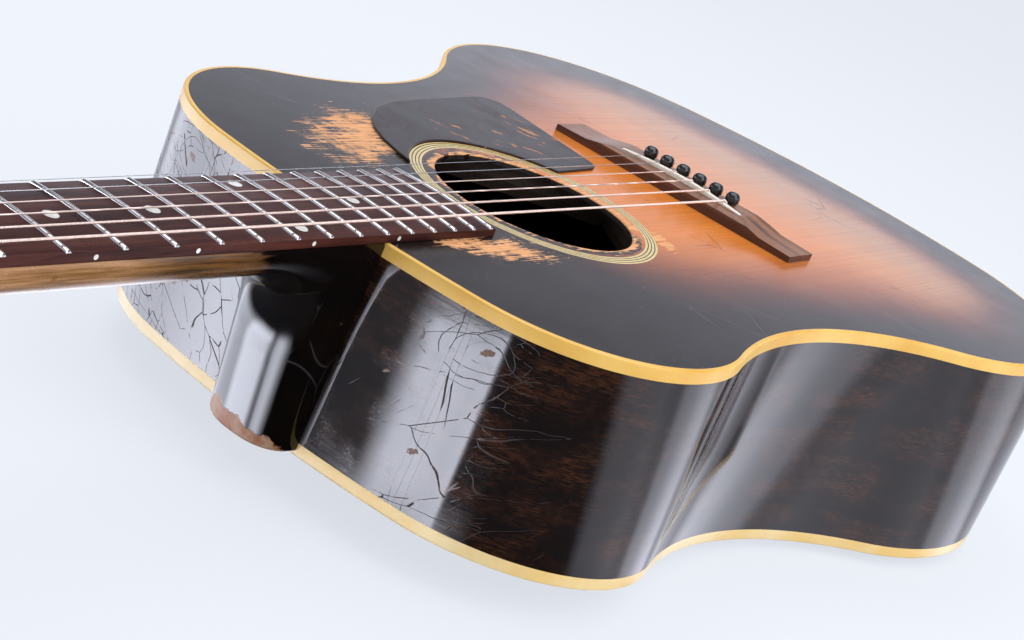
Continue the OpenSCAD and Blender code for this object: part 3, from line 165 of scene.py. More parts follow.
class Nodes:
    """A node tree and the few calls that fill it."""

    def __init__(self, tree: bpy.types.NodeTree) -> None:
        """Empties the tree.

        Args:
            tree: node tree of a material, of the world or of a modifier.
        """
        self.tree = tree
        tree.nodes.clear()

    def node(self, kind: str, settings: dict[str, Any] | None = None,
             sockets: dict[Any, Any] | None = None) -> bpy.types.Node:
        """Adds one node.

        Args:
            kind: the node's type.
            settings: attributes of the node, set before its sockets; "stops" fills a colour ramp.
            sockets: input name or index to a value, a socket or a Val.

        Returns:
            The new node.
        """
        node = self.tree.nodes.new(kind)
        for key, value in (settings or {}).items():
            if key == "stops":
                self._stops(node, value)
            else:
                setattr(node, key, value)
        for key, value in (sockets or {}).items():
            self.feed(node.inputs[key], value)
        return node

    @staticmethod
    def _stops(node: bpy.types.Node, stops: Sequence[tuple[float, Colour]]) -> None:
        """Sets the stops of a colour ramp.

        Args:
            node: the ramp.
            stops: places from 0 to 1 and colours.
        """
        elements = node.color_ramp.elements
        while len(elements) < len(stops):
            elements.new(1.0)
        for element, (at, colour) in zip(elements, stops):
            element.position = at
            element.color = (*colour, 1.0)

    def feed(self, socket: Socket, value: Any) -> None:
        """Links a socket or sets its value.

        Args:
            socket: an input.
            value: a number, colour, socket or Val.
        """
        if isinstance(value, Val):
            value = value.socket
        if isinstance(value, Socket):
            self.tree.links.new(value, socket)
        elif isinstance(value, tuple) and socket.type == "RGBA":
            socket.default_value = (*value[:3], 1.0)
        else:
            socket.default_value = value

    def math(self, operation: str, *values: Any) -> Val:
        """A Math node over values or numbers."""
        node = self.node("ShaderNodeMath", {"operation": operation}, dict(enumerate(values)))
        return Val(self, node.outputs[0])

    def coords(self) -> Socket:
        """Object coordinates in the guitar's own millimetres."""
        texco = self.node("ShaderNodeTexCoord")
        shift = self.node("ShaderNodeMapping", None, {
            "Vector": texco.outputs["Object"],
            "Location": (-JOINT_X / MM, 0.0, -TOP_Z / MM), "Scale": (1 / MM, 1 / MM, 1 / MM)})
        return shift.outputs[0]

    def uv(self) -> Socket:
        """The piece's own UV map, in millimetres along and across the surface."""
        texco = self.node("ShaderNodeTexCoord")
        return self.stretch(texco.outputs["UV"], (1 / MM, 1 / MM, 1 / MM))

    def stretch(self, vector: Socket, scale: Point, turn: float = 0.0) -> Socket:
        """Coordinates along a direction turned about Z, then scaled, so that a pattern stretches along it.

        Args:
            vector: coordinates.
            scale: cells for each millimetre along the three axes.
            turn: angle about Z in radians.

        Returns:
            The new coordinates.
        """
        size = tuple(1 / k for k in scale)
        node = self.node("ShaderNodeMapping", {"vector_type": "TEXTURE"}, {
            "Vector": vector, "Scale": size, "Rotation": (0.0, 0.0, turn)})
        return node.outputs[0]

    def split(self, vector: Socket) -> tuple[Val, Val, Val]:
        """The three parts of a vector."""
        x, y, z = self.node("ShaderNodeSeparateXYZ", None, {0: vector}).outputs
        return Val(self, x), Val(self, y), Val(self, z)

    def join(self, x: Any, y: Any, z: Any) -> Socket:
        """A vector of three values."""
        return self.node("ShaderNodeCombineXYZ", None, {0: x, 1: y, 2: z}).outputs[0]

    def facing_up(self) -> Val:
        """1 where the surface faces straight up, 0 where it is upright."""
        return self.split(self.node("ShaderNodeNewGeometry").outputs["Normal"])[2].most(0.0)

    def attribute(self, name: str) -> Val:
        """A number stored on the mesh."""
        return Val(self, self.node("ShaderNodeAttribute", {"attribute_name": name}).outputs["Fac"])

    def noise(self, vector: Socket, scale: float, detail: float = 3.0,
              rough: float = 0.55, twist: float = 0.0) -> Val:
        """Fractal noise from 0 to 1."""
        node = self.node("ShaderNodeTexNoise", None, {
            "Vector": vector, "Scale": scale, "Detail": detail, "Roughness": rough, "Distortion": twist})
        return Val(self, node.outputs[0])

    def cells(self, vector: Socket, scale: float, feature: str = "DISTANCE_TO_EDGE") -> Val:
        """Distance within a pattern of cells."""
        node = self.node("ShaderNodeTexVoronoi", {"feature": feature}, {"Vector": vector, "Scale": scale})
        return Val(self, node.outputs["Distance"])

    def step(self, value: Any, low: float, high: float) -> Val:
        """A smooth rise from 0 at low to 1 at high."""
        node = self.node("ShaderNodeMapRange", {"interpolation_type": "SMOOTHSTEP"}, {
            "Value": value, "From Min": low, "From Max": high})
        return Val(self, node.outputs[0])

    def line(self, distance: Val, width: float) -> Val:
        """1 on a line and 0 past its width, from the distance to it."""
        return 1 - self.step(distance, width * 0.35, width)

    def ramp(self, value: Any, stops: Sequence[tuple[float, Colour]]) -> Socket:
        """A colour ramp over a value."""
        return self.node("ShaderNodeValToRGB", {"stops": stops}, {0: value}).outputs[0]

    def mix(self, share: Any, first: Any, second: Any, how: str = "MIX") -> Socket:
        """Two colours mixed by a share from 0 to 1."""
        node = self.node("ShaderNodeMix", {"data_type": "RGBA", "blend_type": how},
                         {0: share, 6: first, 7: second})
        return node.outputs[2]

    def bump(self, height: Any, depth_mm: float, strength: float) -> Socket:
        """A bump of the given depth."""
        sockets: dict[Any, Any] = {"Height": height, "Distance": depth_mm * MM, "Strength": strength}
        return self.node("ShaderNodeBump", None, sockets).outputs[0]

    def oval(self, at: tuple[Val, Val], centre: Plan, size: Plan, turn: float) -> Val:
        """Squared distance from an oval's centre, 1 on its edge.

        Args:
            at: the two plan values.
            centre: the oval's centre.
            size: its half length and half width.
            turn: angle of its length from X, in degrees.

        Returns:
            A value that is 0 at the centre.
        """
        cos, sin = math.cos(math.radians(turn)), math.sin(math.radians(turn))
        dx, dy = at[0] - centre[0], at[1] - centre[1]
        along = (dx * cos + dy * sin) * (1 / size[0])
        across = (dy * cos - dx * sin) * (1 / size[1])
        return along * along + across * across


class Shader(Nodes):
    """A material with a Principled surface."""

    def __init__(self, name: str) -> None:
        """Starts the material.

        Args:
            name: name of the material.
        """
        self.material = bpy.data.materials.new(name)
        self.material.use_nodes = True
        super().__init__(self.material.node_tree)
        self.out = self.node("ShaderNodeOutputMaterial")
        self.surface = self.node("ShaderNodeBsdfPrincipled")
        self.tree.links.new(self.surface.outputs[0], self.out.inputs[0])

    def done(self, **sockets: Any) -> Material:
        """Feeds the surface by socket name, with _ for a space, and returns the material."""
        for key, value in sockets.items():
            self.feed(self.surface.inputs[key.replace("_", " ")], value)
        return self.material


# Finishes


@dataclass(frozen=True)
class Finish:
    """A finish of the guitar, drawn once and shared by its pieces."""

    name: str
    slot: str

    def paint(self, shader: Shader) -> Material:
        """Fills the shader's tree; each finish has its own.

        Args:
            shader: a fresh material.

        Returns:
            The finished material.
        """
        raise NotImplementedError

    def material(self) -> Material:
        """The finish's material, made on first use."""
        title = f"{self.name}_look"
        made = bpy.data.materials.get(title)
        return made if made else self.paint(Shader(title))


@dataclass(frozen=True)
class SunburstTop(Finish):
    """Shaded spruce under old lacquer, worn through where hands and picks pass."""

    edge: Colour = (0.008, 0.0050, 0.0045)
    brown: Colour = (0.100, 0.022, 0.0085)
    rust: Colour = (0.310, 0.080, 0.0160)
    orange: Colour = (0.560, 0.165, 0.0260)
    amber: Colour = (0.760, 0.235, 0.0360)
    tan: Colour = (0.490, 0.275, 0.1600)
    bare: Colour = (0.900, 0.470, 0.2050)
    bare_deep: Colour = (0.560, 0.235, 0.0850)
    # Dark left in the worn patches, and also painted shade below the top's face.
    soot_and_shade: Colour = (0.016, 0.009, 0.007)
    hole: Plan = (-146.0, 0.0)

    def paint(self, shader: Shader) -> Material:
        """Draws the burst, the grain, the bare patches and the small damage, with a painted reflection paling
        the burst beyond the bridge and painted shade below the top's face.
        """
        s = shader
        at = s.coords()
        x, y, z = s.split(at)
        cloud = s.noise(at, 0.012, 3.0)
        tone = self._tone(s, x, y, cloud)
        burst = s.ramp(tone, [(0.0, self.edge), (0.15, self.brown), (0.42, self.rust),
                              (0.72, self.orange), (1.0, self.amber)])
        # Beyond the bridge the burst is painted towards tan: a painted reflection of the pale surroundings on
        # the far, grazing part of the top.
        painted_sheen = s.step(-x, 285, 430) * s.step(tone, 0.10, 0.60) * 0.85
        burst = s.mix(painted_sheen, burst, self.tan)
        wobble = s.noise(s.stretch(at, (0.004, 0.03, 0.03)), 1.0, 2.0)
        rings = s.noise(s.join(x * 0.0012, y * 0.95 + wobble * 2.4, 0.0), 1.0, 3.0, 0.6)
        fine = s.noise(s.stretch(at, (0.05, 3.2, 0.1)), 1.0, 3.0, 0.7)
        grain = s.step(rings, 0.40, 0.62) * 0.75 + fine * 0.25
        wood = s.mix(grain * 0.24, burst, (0.34, 0.16, 0.07), "MULTIPLY")
        worn, field = self._worn(s, at, x, y)
        streak = s.step(s.noise(s.stretch(at, (0.030, 1.1, 0.1)), 1.0, 4.0, 0.7), 0.36, 0.66)
        raw = s.mix(streak, self.bare_deep, self.bare)
        raw = s.mix(s.step(rings, 0.48, 0.62) * 0.35, raw, self.bare_deep)
        thread = s.noise(s.stretch(at, (0.028, 1.35, 0.1)), 1.0, 3.0, 0.6)
        blotch = s.noise(at, 0.17, 4.0, 0.65)
        left = s.step(thread - field * 0.45 + (blotch - 0.5) * 0.6, 0.16, 0.26) * (1 - s.step(-x, 176, 186))
        raw = s.mix(left, raw, self.soot_and_shade)
        colour = s.mix(worn, wood, raw)
        nick = self._nicks(s, at)
        colour = s.mix(nick * 0.75, colour, self.bare_deep)
        check = self._checks(s, at)
        colour = s.mix(check * 0.55, colour, self.edge)
        dust = s.step(s.noise(at, 0.9, 2.0), 0.68, 0.76) * s.step(s.noise(at, 0.02, 2.0), 0.40, 0.60)
        colour = s.mix(dust * 0.22, colour, self.tan)
        # Below the top's face (its underside, the soundhole's wall and the groove floor) the colour is
        # painted near black: painted shade.
        colour = s.mix(s.step(-z, 0.35, 0.8), colour, self.soot_and_shade)
        wave = s.noise(at, 0.035, 2.0)
        gloss = s.noise(at, 0.05, 4.0)
        rough = 0.17 + gloss * 0.12 + worn * (1 - left) * 0.36 + nick * 0.2 + dust * 0.12
        height = wave * 0.22 + grain * 0.014 - worn * (1 - left) * 0.16 - nick * 0.14 - check * 0.08
        return s.done(Base_Color=colour, Roughness=rough, Normal=s.bump(height, 0.55, 0.5))

    def _tone(self, s: Shader, x: Val, y: Val, cloud: Val) -> Val:
        """Depth of the burst, 0 at the dark rim and 1 at its brightest.

        Args:
            s: the shader.
            x: distance along the strings.
            y: distance across them.
            cloud: a slow noise that makes the sprayed edge uneven.

        Returns:
            The tone.
        """
        edge = s.attribute("edge")
        glow = s.oval((x, y), (-362, -2), (216, 186), 0)
        inwards = s.step(edge * (1.28 - s.step(-x, 215, 330) * 0.28) + (cloud - 0.5) * 18, 10, 130)
        return inwards * s.step(1.50 - glow, -0.1, 1.10) + (cloud - 0.5) * 0.05

    def _worn(self, s: Shader, at: Socket, x: Val, y: Val) -> tuple[Val, Val]:
        """Masks of bare wood.

        Args:
            s: the shader.
            at: coordinates.
            x: distance along the strings.
            y: distance across them.

        Returns:
            The bare mask, and a field that is 0 at its rim and grows inwards.
        """
        shred = s.noise(s.stretch(at, (0.040, 0.62, 0.1)), 1.0, 5.0, 0.70)
        patch = s.noise(at, 0.055, 3.0, 0.6)
        treble = 1 - s.oval((x, y), (-92, -72), (58, 30), 29)
        bass = 1 - s.oval((x, y), (-66, 39), (45, 14), -14)
        radius = (((x - self.hole[0]) ** 2) + (y ** 2)) ** 0.5
        lip = (54.6 - radius) * 0.22 + 0.15
        lip = lip.least(1.0) - s.step(s.noise(at, 0.045, 2.0), 0.56, 0.66) * 0.9
        far = 0.45 - s.oval((x, y), (-195, 46), (17, 10), 50)
        low = treble.most(bass).most(lip).most(far)
        field = low.most(-1.2) + (shred - 0.5) * 2.1 + (patch - 0.5) * 1.5 - 0.05
        return s.step(field, 0.0, 0.14), field.least(1.0)

    @staticmethod
    def _nicks(s: Shader, at: Socket) -> Val:
        """Small dents and pale chips, scattered thinly.

        Args:
            s: the shader.
            at: coordinates.

        Returns:
            1 on the damage.
        """
        chip = s.cells(s.stretch(at, (0.05, 0.075, 0.05)), 1.0, "F1")
        rare = s.step(s.noise(at, 0.021, 2.0), 0.52, 0.66)
        shape = s.noise(at, 0.6, 3.0)
        pricks = s.step(s.noise(at, 2.0, 2.0), 0.735, 0.775) * s.step(s.noise(at, 0.028, 2.0), 0.47, 0.62)
        return ((1 - s.step(chip + (shape - 0.5) * 0.10, 0.025, 0.045)) * rare).most(pricks)

    @staticmethod
    def _checks(s: Shader, at: Socket) -> Val:
        """Fine lacquer checks, mostly across the grain."""
        edge = s.cells(s.stretch(at, (0.040, 0.011, 0.02), 0.15), 1.0)
        part = s.step(s.noise(at, 0.015, 2.0), 0.50, 0.62)
        return s.line(edge, 0.008) * part


@dataclass(frozen=True)
class CrazedLacquer(Finish):
    """Nearly black lacquer over mahogany, crazed where it was handled most."""

    dark: Colour = (0.0060, 0.0034, 0.0030)
    red: Colour = (0.0700, 0.0235, 0.0085)
    chip: Colour = (0.120, 0.055, 0.024)
    follows_rim: bool = True
    craze_at: Plan = (82.0, -62.0)
    craze_size: Plan = (44.0, 62.0)
    bruise_at: Plan = (75.0, -19.0)
    chips_at: tuple[Point, ...] = ((62.0, -71.0, 2.1), (38.0, -47.0, 1.2), (76.0, -18.0, 2.3))

    def paint(self, shader: Shader) -> Material:
        """Draws grain, mottling, crazing, scratches and chips."""
        s = shader
        at = s.uv() if self.follows_rim else s.coords()
        u, v, _ = s.split(at)
        pores = s.noise(s.stretch(at, (0.20, 0.95, 0.95)), 1.0, 4.0, 0.7)
        ribbon = s.noise(s.stretch(at, (0.012, 0.10, 0.1)), 1.0, 4.0, 0.6, 0.4)
        specks = s.step(s.noise(at, 0.9, 3.0, 0.6), 0.50, 0.64)
        mottle = s.noise(at, 0.030, 5.0, 0.65)
        tone = s.step(ribbon * 0.45 + pores * 0.55, 0.43, 0.66) * s.step(mottle, 0.36, 0.64)
        colour = s.mix(tone, self.dark, self.red)
        colour = s.mix(s.step(pores, 0.60, 0.72) * 0.7, colour, self.dark)
        craze = self._craze(s, at, u, v)
        scratch = self._scratches(s, at)
        chips = self._chips(s, at, u, v)
        colour = s.mix(scratch * 0.30, colour, self.chip)
        colour = s.mix(chips, colour, self.chip)
        wave = s.noise(s.stretch(at, (0.018, 0.03, 0.03)), 1.0, 2.0)
        ripple = s.noise(s.stretch(at, (0.02, 0.30, 0.3)), 1.0, 3.0)
        haze = s.noise(at, 0.06, 4.0, 0.65)
        rough = 0.055 + s.step(haze, 0.40, 0.80) * (0.05 + specks * 0.10) + scratch * 0.12 \
            + (chips * 0.5 + craze * 0.8).least(0.8)
        height = (wave * 0.24 + ripple * 0.030 + pores * 0.006
                  - craze * 0.045 - scratch * 0.02 - chips * 0.15)
        return s.done(Base_Color=colour, Roughness=rough, Normal=s.bump(height, 0.6, 0.5))

    def _craze(self, s: Shader, at: Socket, u: Val, v: Val) -> Val:
        """Crackle lines of the lacquer.

        Args:
            s: the shader.
            at: coordinates.
            u: distance along the surface.
            v: height on it.

        Returns:
            1 on the lines.
        """
        bow = (s.noise(at, 0.030, 2.0) - 0.5) * 26
        bent = s.join(u + bow, v + bow * 0.7, 0.0)
        wild = s.noise(at, 0.05, 3.0)
        broken = s.step(s.noise(at, 0.16, 3.0), 0.38, 0.50)
        long = s.line(s.cells(s.stretch(bent, (0.012, 0.050, 0.05), 0.35), 1.0), 0.0060) * broken
        ticks = s.line(s.cells(s.stretch(bent, (0.050, 0.16, 0.1), 0.2), 1.0), 0.015) * broken
        posts = s.line(s.cells(s.stretch(s.join(u + bow * 0.12, v, 0.0), (0.30, 0.009, 0.1)), 1.0), 0.013)
        spot = 1 - s.oval((u, v), self.craze_at, self.craze_size, 0)
        handled = s.step(spot + (wild - 0.5) * 1.4, -0.1, 0.4)
        right = s.step(u, self.craze_at[0] + 2, self.craze_at[0] + 7)
        right = right * (1 - s.step(u, self.craze_at[0] + 15, self.craze_at[0] + 21))
        left = s.step(u, self.craze_at[0] - 24, self.craze_at[0] - 20)
        left = left * (1 - s.step(u, self.craze_at[0] - 14, self.craze_at[0] - 10))
        lines = (long * handled).most(ticks * handled * right).most(posts * handled * left)
        reach = s.oval((u + bow * 0.30, v + bow * 0.22), self.bruise_at, (26.0, 14.5), 12) ** 0.5
        turns = s.math("PINGPONG", reach * 3.6 + (wild - 0.5) * 1.8, 0.5)
        arcs = s.step(s.noise(at, 0.075, 2.0), 0.44, 0.50)
        ringed = s.step(reach, 0.28, 0.40) * (1 - s.step(reach, 0.95, 1.15)) * arcs
        bruise = (1 - s.step(turns, 0.014, 0.040)) * ringed
        lines = lines.most(bruise)
        if not self.follows_rim:
            return lines
        _, y, _ = s.split(s.coords())
        far = (1 - s.step(y, -2, 2)) * s.step(wild + s.step(-v, 10, 50) * 0.15, 0.46, 0.56)
        small = s.line(s.cells(s.stretch(bent, (0.12, 0.055, 0.1), -0.6), 1.0), 0.020)
        return lines.most(small * broken * far * (1 - s.step(u, 120, 170)))

    @staticmethod
    def _scratches(s: Shader, at: Socket) -> Val:
        """A few hairline scratches."""
        edge = s.cells(s.stretch(at, (0.006, 0.10, 0.05), 0.9), 1.0)
        part = s.step(s.noise(at, 0.045, 3.0), 0.60, 0.68)
        return s.line(edge, 0.010) * part

    def _chips(self, s: Shader, at: Socket, u: Val, v: Val) -> Val:
        """Pale chips knocked out of the lacquer, a few of them in known places.

        Args:
            s: the shader.
            at: coordinates.
            u: distance along the surface.
            v: height on it.

        Returns:
            1 on the chips.
        """
        spot = s.cells(s.stretch(at, (0.030, 0.040, 0.03)), 1.0, "F1")
        ragged = s.noise(at, 0.62, 4.0, 0.7)
        rare = s.step(s.noise(at, 0.017, 2.0), 0.56, 0.66)
        chips = (1 - s.step(spot + (ragged - 0.5) * 0.14, 0.016, 0.030)) * rare
        for cu, cv, r in self.chips_at if self.follows_rim else ():
            near = s.oval((u, v), (cu, cv), (r * 1.3, r * 0.6), 25)
            chips = chips.most(1 - s.step(near + (ragged - 0.5) * 5.0, 0.6, 1.0))
        return chips


@dataclass(frozen=True)
class WornNeck(Finish):
    """Dark lacquer on the heel, worn to ochre wood along the shaft and at the heel's end."""

    dark: Colour = (0.0030, 0.0022, 0.0022)
    heel: Colour = (0.0050, 0.0030, 0.0022)
    brown: Colour = (0.030, 0.012, 0.0055)
    ochre: Colour = (0.190, 0.082, 0.020)
    tan: Colour = (0.490, 0.255, 0.115)
    pink: Colour = (0.420, 0.260, 0.170)
    rust: Colour = (0.260, 0.082, 0.022)

    def paint(self, shader: Shader) -> Material:
        """Draws the worn shaft, the black heel and the bare end of the heel."""
        s = shader
        at = s.coords()
        x, y, z = s.split(at)
        long_grain = s.noise(s.stretch(at, (0.02, 0.5, 0.5)), 1.0, 4.0, 0.65)
        patch = s.noise(s.stretch(at, (0.014, 0.06, 0.06)), 1.0, 4.0, 0.6, 0.3)
        rag = s.noise(at, 0.10, 5.0, 0.65)
        shaft = s.step(x + (patch - 0.5) * 50, 50, 74) * (1 - s.step(x, 392, 410))
        pale = s.step(x + (patch - 0.5) * 60, 96, 150)
        wood = s.mix(s.step(long_grain, 0.3, 0.7), s.mix(pale, self.brown, self.ochre),
                     s.mix(pale, self.ochre, self.tan))
        base = s.mix(s.step(patch, 0.40, 0.72), self.dark, self.heel)
        bare = s.step(patch + shaft * 0.34 + (long_grain - 0.5) * 0.4, 0.50, 0.66) * shaft
        colour = s.mix(bare, base, wood)
        end = -z + (rag - 0.5) * 13.0 + s.step(x, 2, 18) * 6.0 - s.step(y, -6, 16) * 2.6
        ends = s.step(end, 97.6, 98.8) * (1 - s.step(x, 40, 60))
        raw = s.mix(s.step(rag, 0.40, 0.62), self.rust, self.pink)
        colour = s.mix(ends * 0.92, colour, raw)
        spots = 1 - s.step(s.cells(at, 0.035, "F1") + (rag - 0.5) * 0.12, 0.03, 0.06)
        chips = spots * s.step(s.noise(at, 0.02, 2.0), 0.52, 0.62)
        colour = s.mix(chips, colour, self.ochre)
        cracks = s.line(s.cells(s.stretch(at, (0.05, 0.06, 0.022), 0.2), 1.0), 0.012)
        on_heel = (1 - shaft) * (1 - s.step(x, 150, 170))
        craze = cracks * s.step(s.noise(at, 0.022, 3.0), 0.56, 0.64) * on_heel
        wave = s.noise(at, 0.03, 2.0) + s.noise(at, 0.09, 3.0) * 0.20 + s.noise(at, 0.5, 2.0) * 0.012
        rough = 0.085 + bare * 0.16 + (ends + craze).least(1.0) * 0.45 + s.step(rag, 0.45, 0.8) * 0.08
        height = wave * 0.25 - craze * 0.05 - chips * 0.1 - ends * 0.2 + long_grain * 0.02 * bare
        return s.done(Base_Color=colour, Roughness=rough, Normal=s.bump(height, 0.6, 0.5))


@dataclass(frozen=True)
class AgedBinding(Finish):
    """Cream binding yellowed under its lacquer, with grime in small nicks."""

    pale: Colour = (0.800, 0.500, 0.120)
    deep: Colour = (0.700, 0.375, 0.052)
    grime: Colour = (0.160, 0.070, 0.020)

    def paint(self, shader: Shader) -> Material:
        """Draws the uneven yellowing, the grime and the nicks."""
        s = shader
        at = s.coords()
        cloud = s.noise(at, 0.025, 4.0, 0.6)
        specks = s.noise(at, 0.5, 4.0, 0.7)
        colour = s.mix(s.step(cloud, 0.3, 0.72), self.pale, self.deep)
        marks = s.step(specks, 0.66, 0.74) * s.step(cloud, 0.4, 0.6)
        colour = s.mix(marks * 0.6, colour, self.grime)
        height = cloud * 0.3 - marks * 0.1
        return s.done(Base_Color=colour, Roughness=0.26 + specks * 0.16,
                      Normal=s.bump(height, 0.4, 0.5))


@dataclass(frozen=True)
class Rosewood(Finish):
    """Oiled rosewood with dark ribbons and open pores, its upward faces painted lighter where asked: painted
    light.
    """

    deep: Colour = (0.014, 0.0042, 0.0036)
    mid: Colour = (0.052, 0.0140, 0.0110)
    light: Colour = (0.105, 0.0320, 0.0220)
    # Colour of upward faces, painted lighter as painted light where the lamps fall on them.
    worn: Colour | None = None
    across: bool = False
    rough: float = 0.30
    shine: float = 0.5
    crack_at: Plan | None = None

    def paint(self, shader: Shader) -> Material:
        """Draws ribbons, pores, the oiled sheen and any painted light on upward faces."""
        s = shader
        at = s.coords()
        x, y, _ = s.split(at)
        if self.across:
            at = s.stretch(at, (1.0, 1.0, 1.0), math.pi / 2)
        ribbon = s.noise(s.stretch(at, (0.010, 0.20, 0.2)), 1.0, 5.0, 0.62, 0.6)
        pores = s.noise(s.stretch(at, (0.07, 1.6, 1.6)), 1.0, 3.0, 0.6)
        pits = s.step(pores, 0.60, 0.70)
        colour = s.ramp(ribbon, [(0.28, self.deep), (0.50, self.mid), (0.74, self.light)])
        # Upward faces are painted lighter: painted light on the bridge's top, its front left darker.
        if self.worn:
            lit_faces = s.step(s.facing_up(), 0.55, 0.85) * s.step(ribbon, 0.20, 0.75)
            colour = s.mix(lit_faces, colour, self.worn)
        colour = s.mix(pits * 0.75, colour, self.deep)
        smear = s.noise(at, 0.05, 4.0)
        rough = self.rough + (smear - 0.5) * 0.2 + pits * 0.2
        height = smear * 0.2 - pits * 0.12
        if self.crack_at:
            stray = s.noise(at, 0.2, 2.0)
            split = s.line((x - self.crack_at[0] + (stray - 0.5) * 2.5).abs(), 0.45) \
                * s.step(y, self.crack_at[1], self.crack_at[1] + 1) * (1 - s.step(y, 58, 60))
            colour = s.mix(split, colour, (0.004, 0.003, 0.003))
            height = height - split * 0.8
        return s.done(Base_Color=colour, Roughness=rough, Specular_IOR_Level=self.shine,
                      Normal=s.bump(height, 0.35, 0.6))


@dataclass(frozen=True)
class WornGuard(Finish):
    """Dark guard with worn tan flecks along the picking strokes."""

    dark: Colour = (0.0085, 0.0050, 0.0058)
    brown: Colour = (0.019, 0.0080, 0.0080)
    fleck: Colour = (0.50, 0.235, 0.105)

    def paint(self, shader: Shader) -> Material:
        """Draws the clouded guard and the flecks nearest the bridge."""
        s = shader
        at = s.coords()
        x, y, _ = s.split(at)
        cloud = s.noise(at, 0.03, 5.0, 0.62, 0.8)
        colour = s.mix(s.step(cloud, 0.38, 0.68), self.dark, self.brown)
        stroke = s.noise(s.stretch(at, (0.055, 0.13, 0.1), 2.05), 1.0, 5.0, 0.70)
        zone = s.step(1 - s.oval((x, y), (-205, -70), (62, 34), 8), -0.35, 0.7)
        worn = s.step(stroke + zone * 0.10, 0.675, 0.72) * zone
        colour = s.mix(worn * 0.9, colour, self.fleck)
        edge = s.cells(s.stretch(at, (0.006, 0.10, 0.05), 0.5), 1.0)
        fine = s.line(edge, 0.010) * s.step(s.noise(at, 0.03, 2.0), 0.52, 0.64)
        wave = s.noise(at, 0.045, 2.0)
        rough = 0.28 + s.step(cloud, 0.4, 0.8) * 0.12 + worn * 0.30 + fine * 0.12
        return s.done(Base_Color=colour, Roughness=rough, Specular_IOR_Level=0.3,
                      Normal=s.bump(wave * 0.3 - worn * 0.1 - fine * 0.04, 0.5, 0.5))


@dataclass(frozen=True)
class Metal(Finish):
    """Bare or plated metal with fine scratches and tarnish."""

    bright: Colour = (0.72, 0.70, 0.64)
    tarnish: Colour = (0.34, 0.27, 0.17)
    rough: float = 0.24
    age: float = 0.5
    scale: float = 0.25

    def paint(self, shader: Shader) -> Material:
        """Draws the tarnish and the wiping marks."""
        s = shader
        at = s.coords()
        cloud = s.noise(at, self.scale, 5.0, 0.65)
        wipe = s.noise(s.stretch(at, (0.3, 4.0, 4.0)), 1.0, 3.0, 0.6)
        old = s.step(cloud, 0.62 - 0.3 * self.age, 0.95 - 0.2 * self.age)
        colour = s.mix(old * self.age, self.bright, self.tarnish)
        rough = self.rough + old * 0.22 + (wipe - 0.5) * 0.12
        return s.done(Base_Color=colour, Roughness=rough, Metallic=1.0,
                      Normal=s.bump(wipe, 0.0015, 0.5))


@dataclass(frozen=True)
class Polymer(Finish):
    """Smooth moulded or cut material: bone, pearl, black pins, rosette plies."""

    main: Colour = (0.02, 0.02, 0.02)
    other: Colour = (0.04, 0.035, 0.03)
    rough: float = 0.18
    scale: float = 0.3
    bump_mm: float = 0.05

    def paint(self, shader: Shader) -> Material:
        """Draws a soft mottling with small wear."""
        s = shader
        at = s.coords()
        cloud = s.noise(at, self.scale, 5.0, 0.6, 0.5)
        fine = s.noise(at, self.scale * 9, 3.0)
        colour = s.mix(s.step(cloud, 0.36, 0.70), self.main, self.other)
        rough = self.rough + (fine - 0.5) * 0.16
        return s.done(Base_Color=colour, Roughness=rough, Normal=s.bump(cloud, self.bump_mm, 0.5))


@dataclass(frozen=True)
class ShadowedWood(Finish):
    """Unfinished wood inside the box, painted near black as painted shade of the closed box, with dusty
    patches.
    """

    pale: Colour = (0.040, 0.024, 0.0125)
    deep: Colour = (0.020, 0.0115, 0.0058)

    def paint(self, shader: Shader) -> Material:
        """Draws straight grain and a dusty surface."""
        s = shader
        at = s.coords()
        grain = s.noise(s.stretch(at, (0.02, 0.8, 0.8)), 1.0, 4.0, 0.6)
        dust = s.noise(at, 0.06, 4.0)
        colour = s.mix(s.step(grain, 0.35, 0.7), self.pale, self.deep)
        colour = s.mix(s.step(dust, 0.5, 0.9) * 0.4, colour, self.deep)
        return s.done(Base_Color=colour, Roughness=0.62 + dust * 0.2, Normal=s.bump(grain, 0.1, 0.6))


TOP = SunburstTop("burst_top", "sunburst_top")
SIDES = CrazedLacquer("crazed_sides", "dark_mahogany")
BACK = CrazedLacquer("crazed_back", "dark_mahogany", follows_rim=False, craze_at=(-90.0, 60.0),
                     bruise_at=(-330.0, -70.0))
NECK = WornNeck("worn_neck", "neck_finish")
FACE = CrazedLacquer("black_face", "black_lacquer", dark=(0.006, 0.005, 0.005), red=(0.014, 0.009, 0.008),
                     follows_rim=False, craze_at=(900.0, 0.0), bruise_at=(900.0, 0.0))
BINDING = AgedBinding("aged_binding", "aged_binding")
BACK_BINDING = AgedBinding("pale_binding", "aged_binding", pale=(0.86, 0.68, 0.36), deep=(0.80, 0.53, 0.17))
BOARD = Rosewood("board_rosewood", "rosewood_board", shine=0.10)
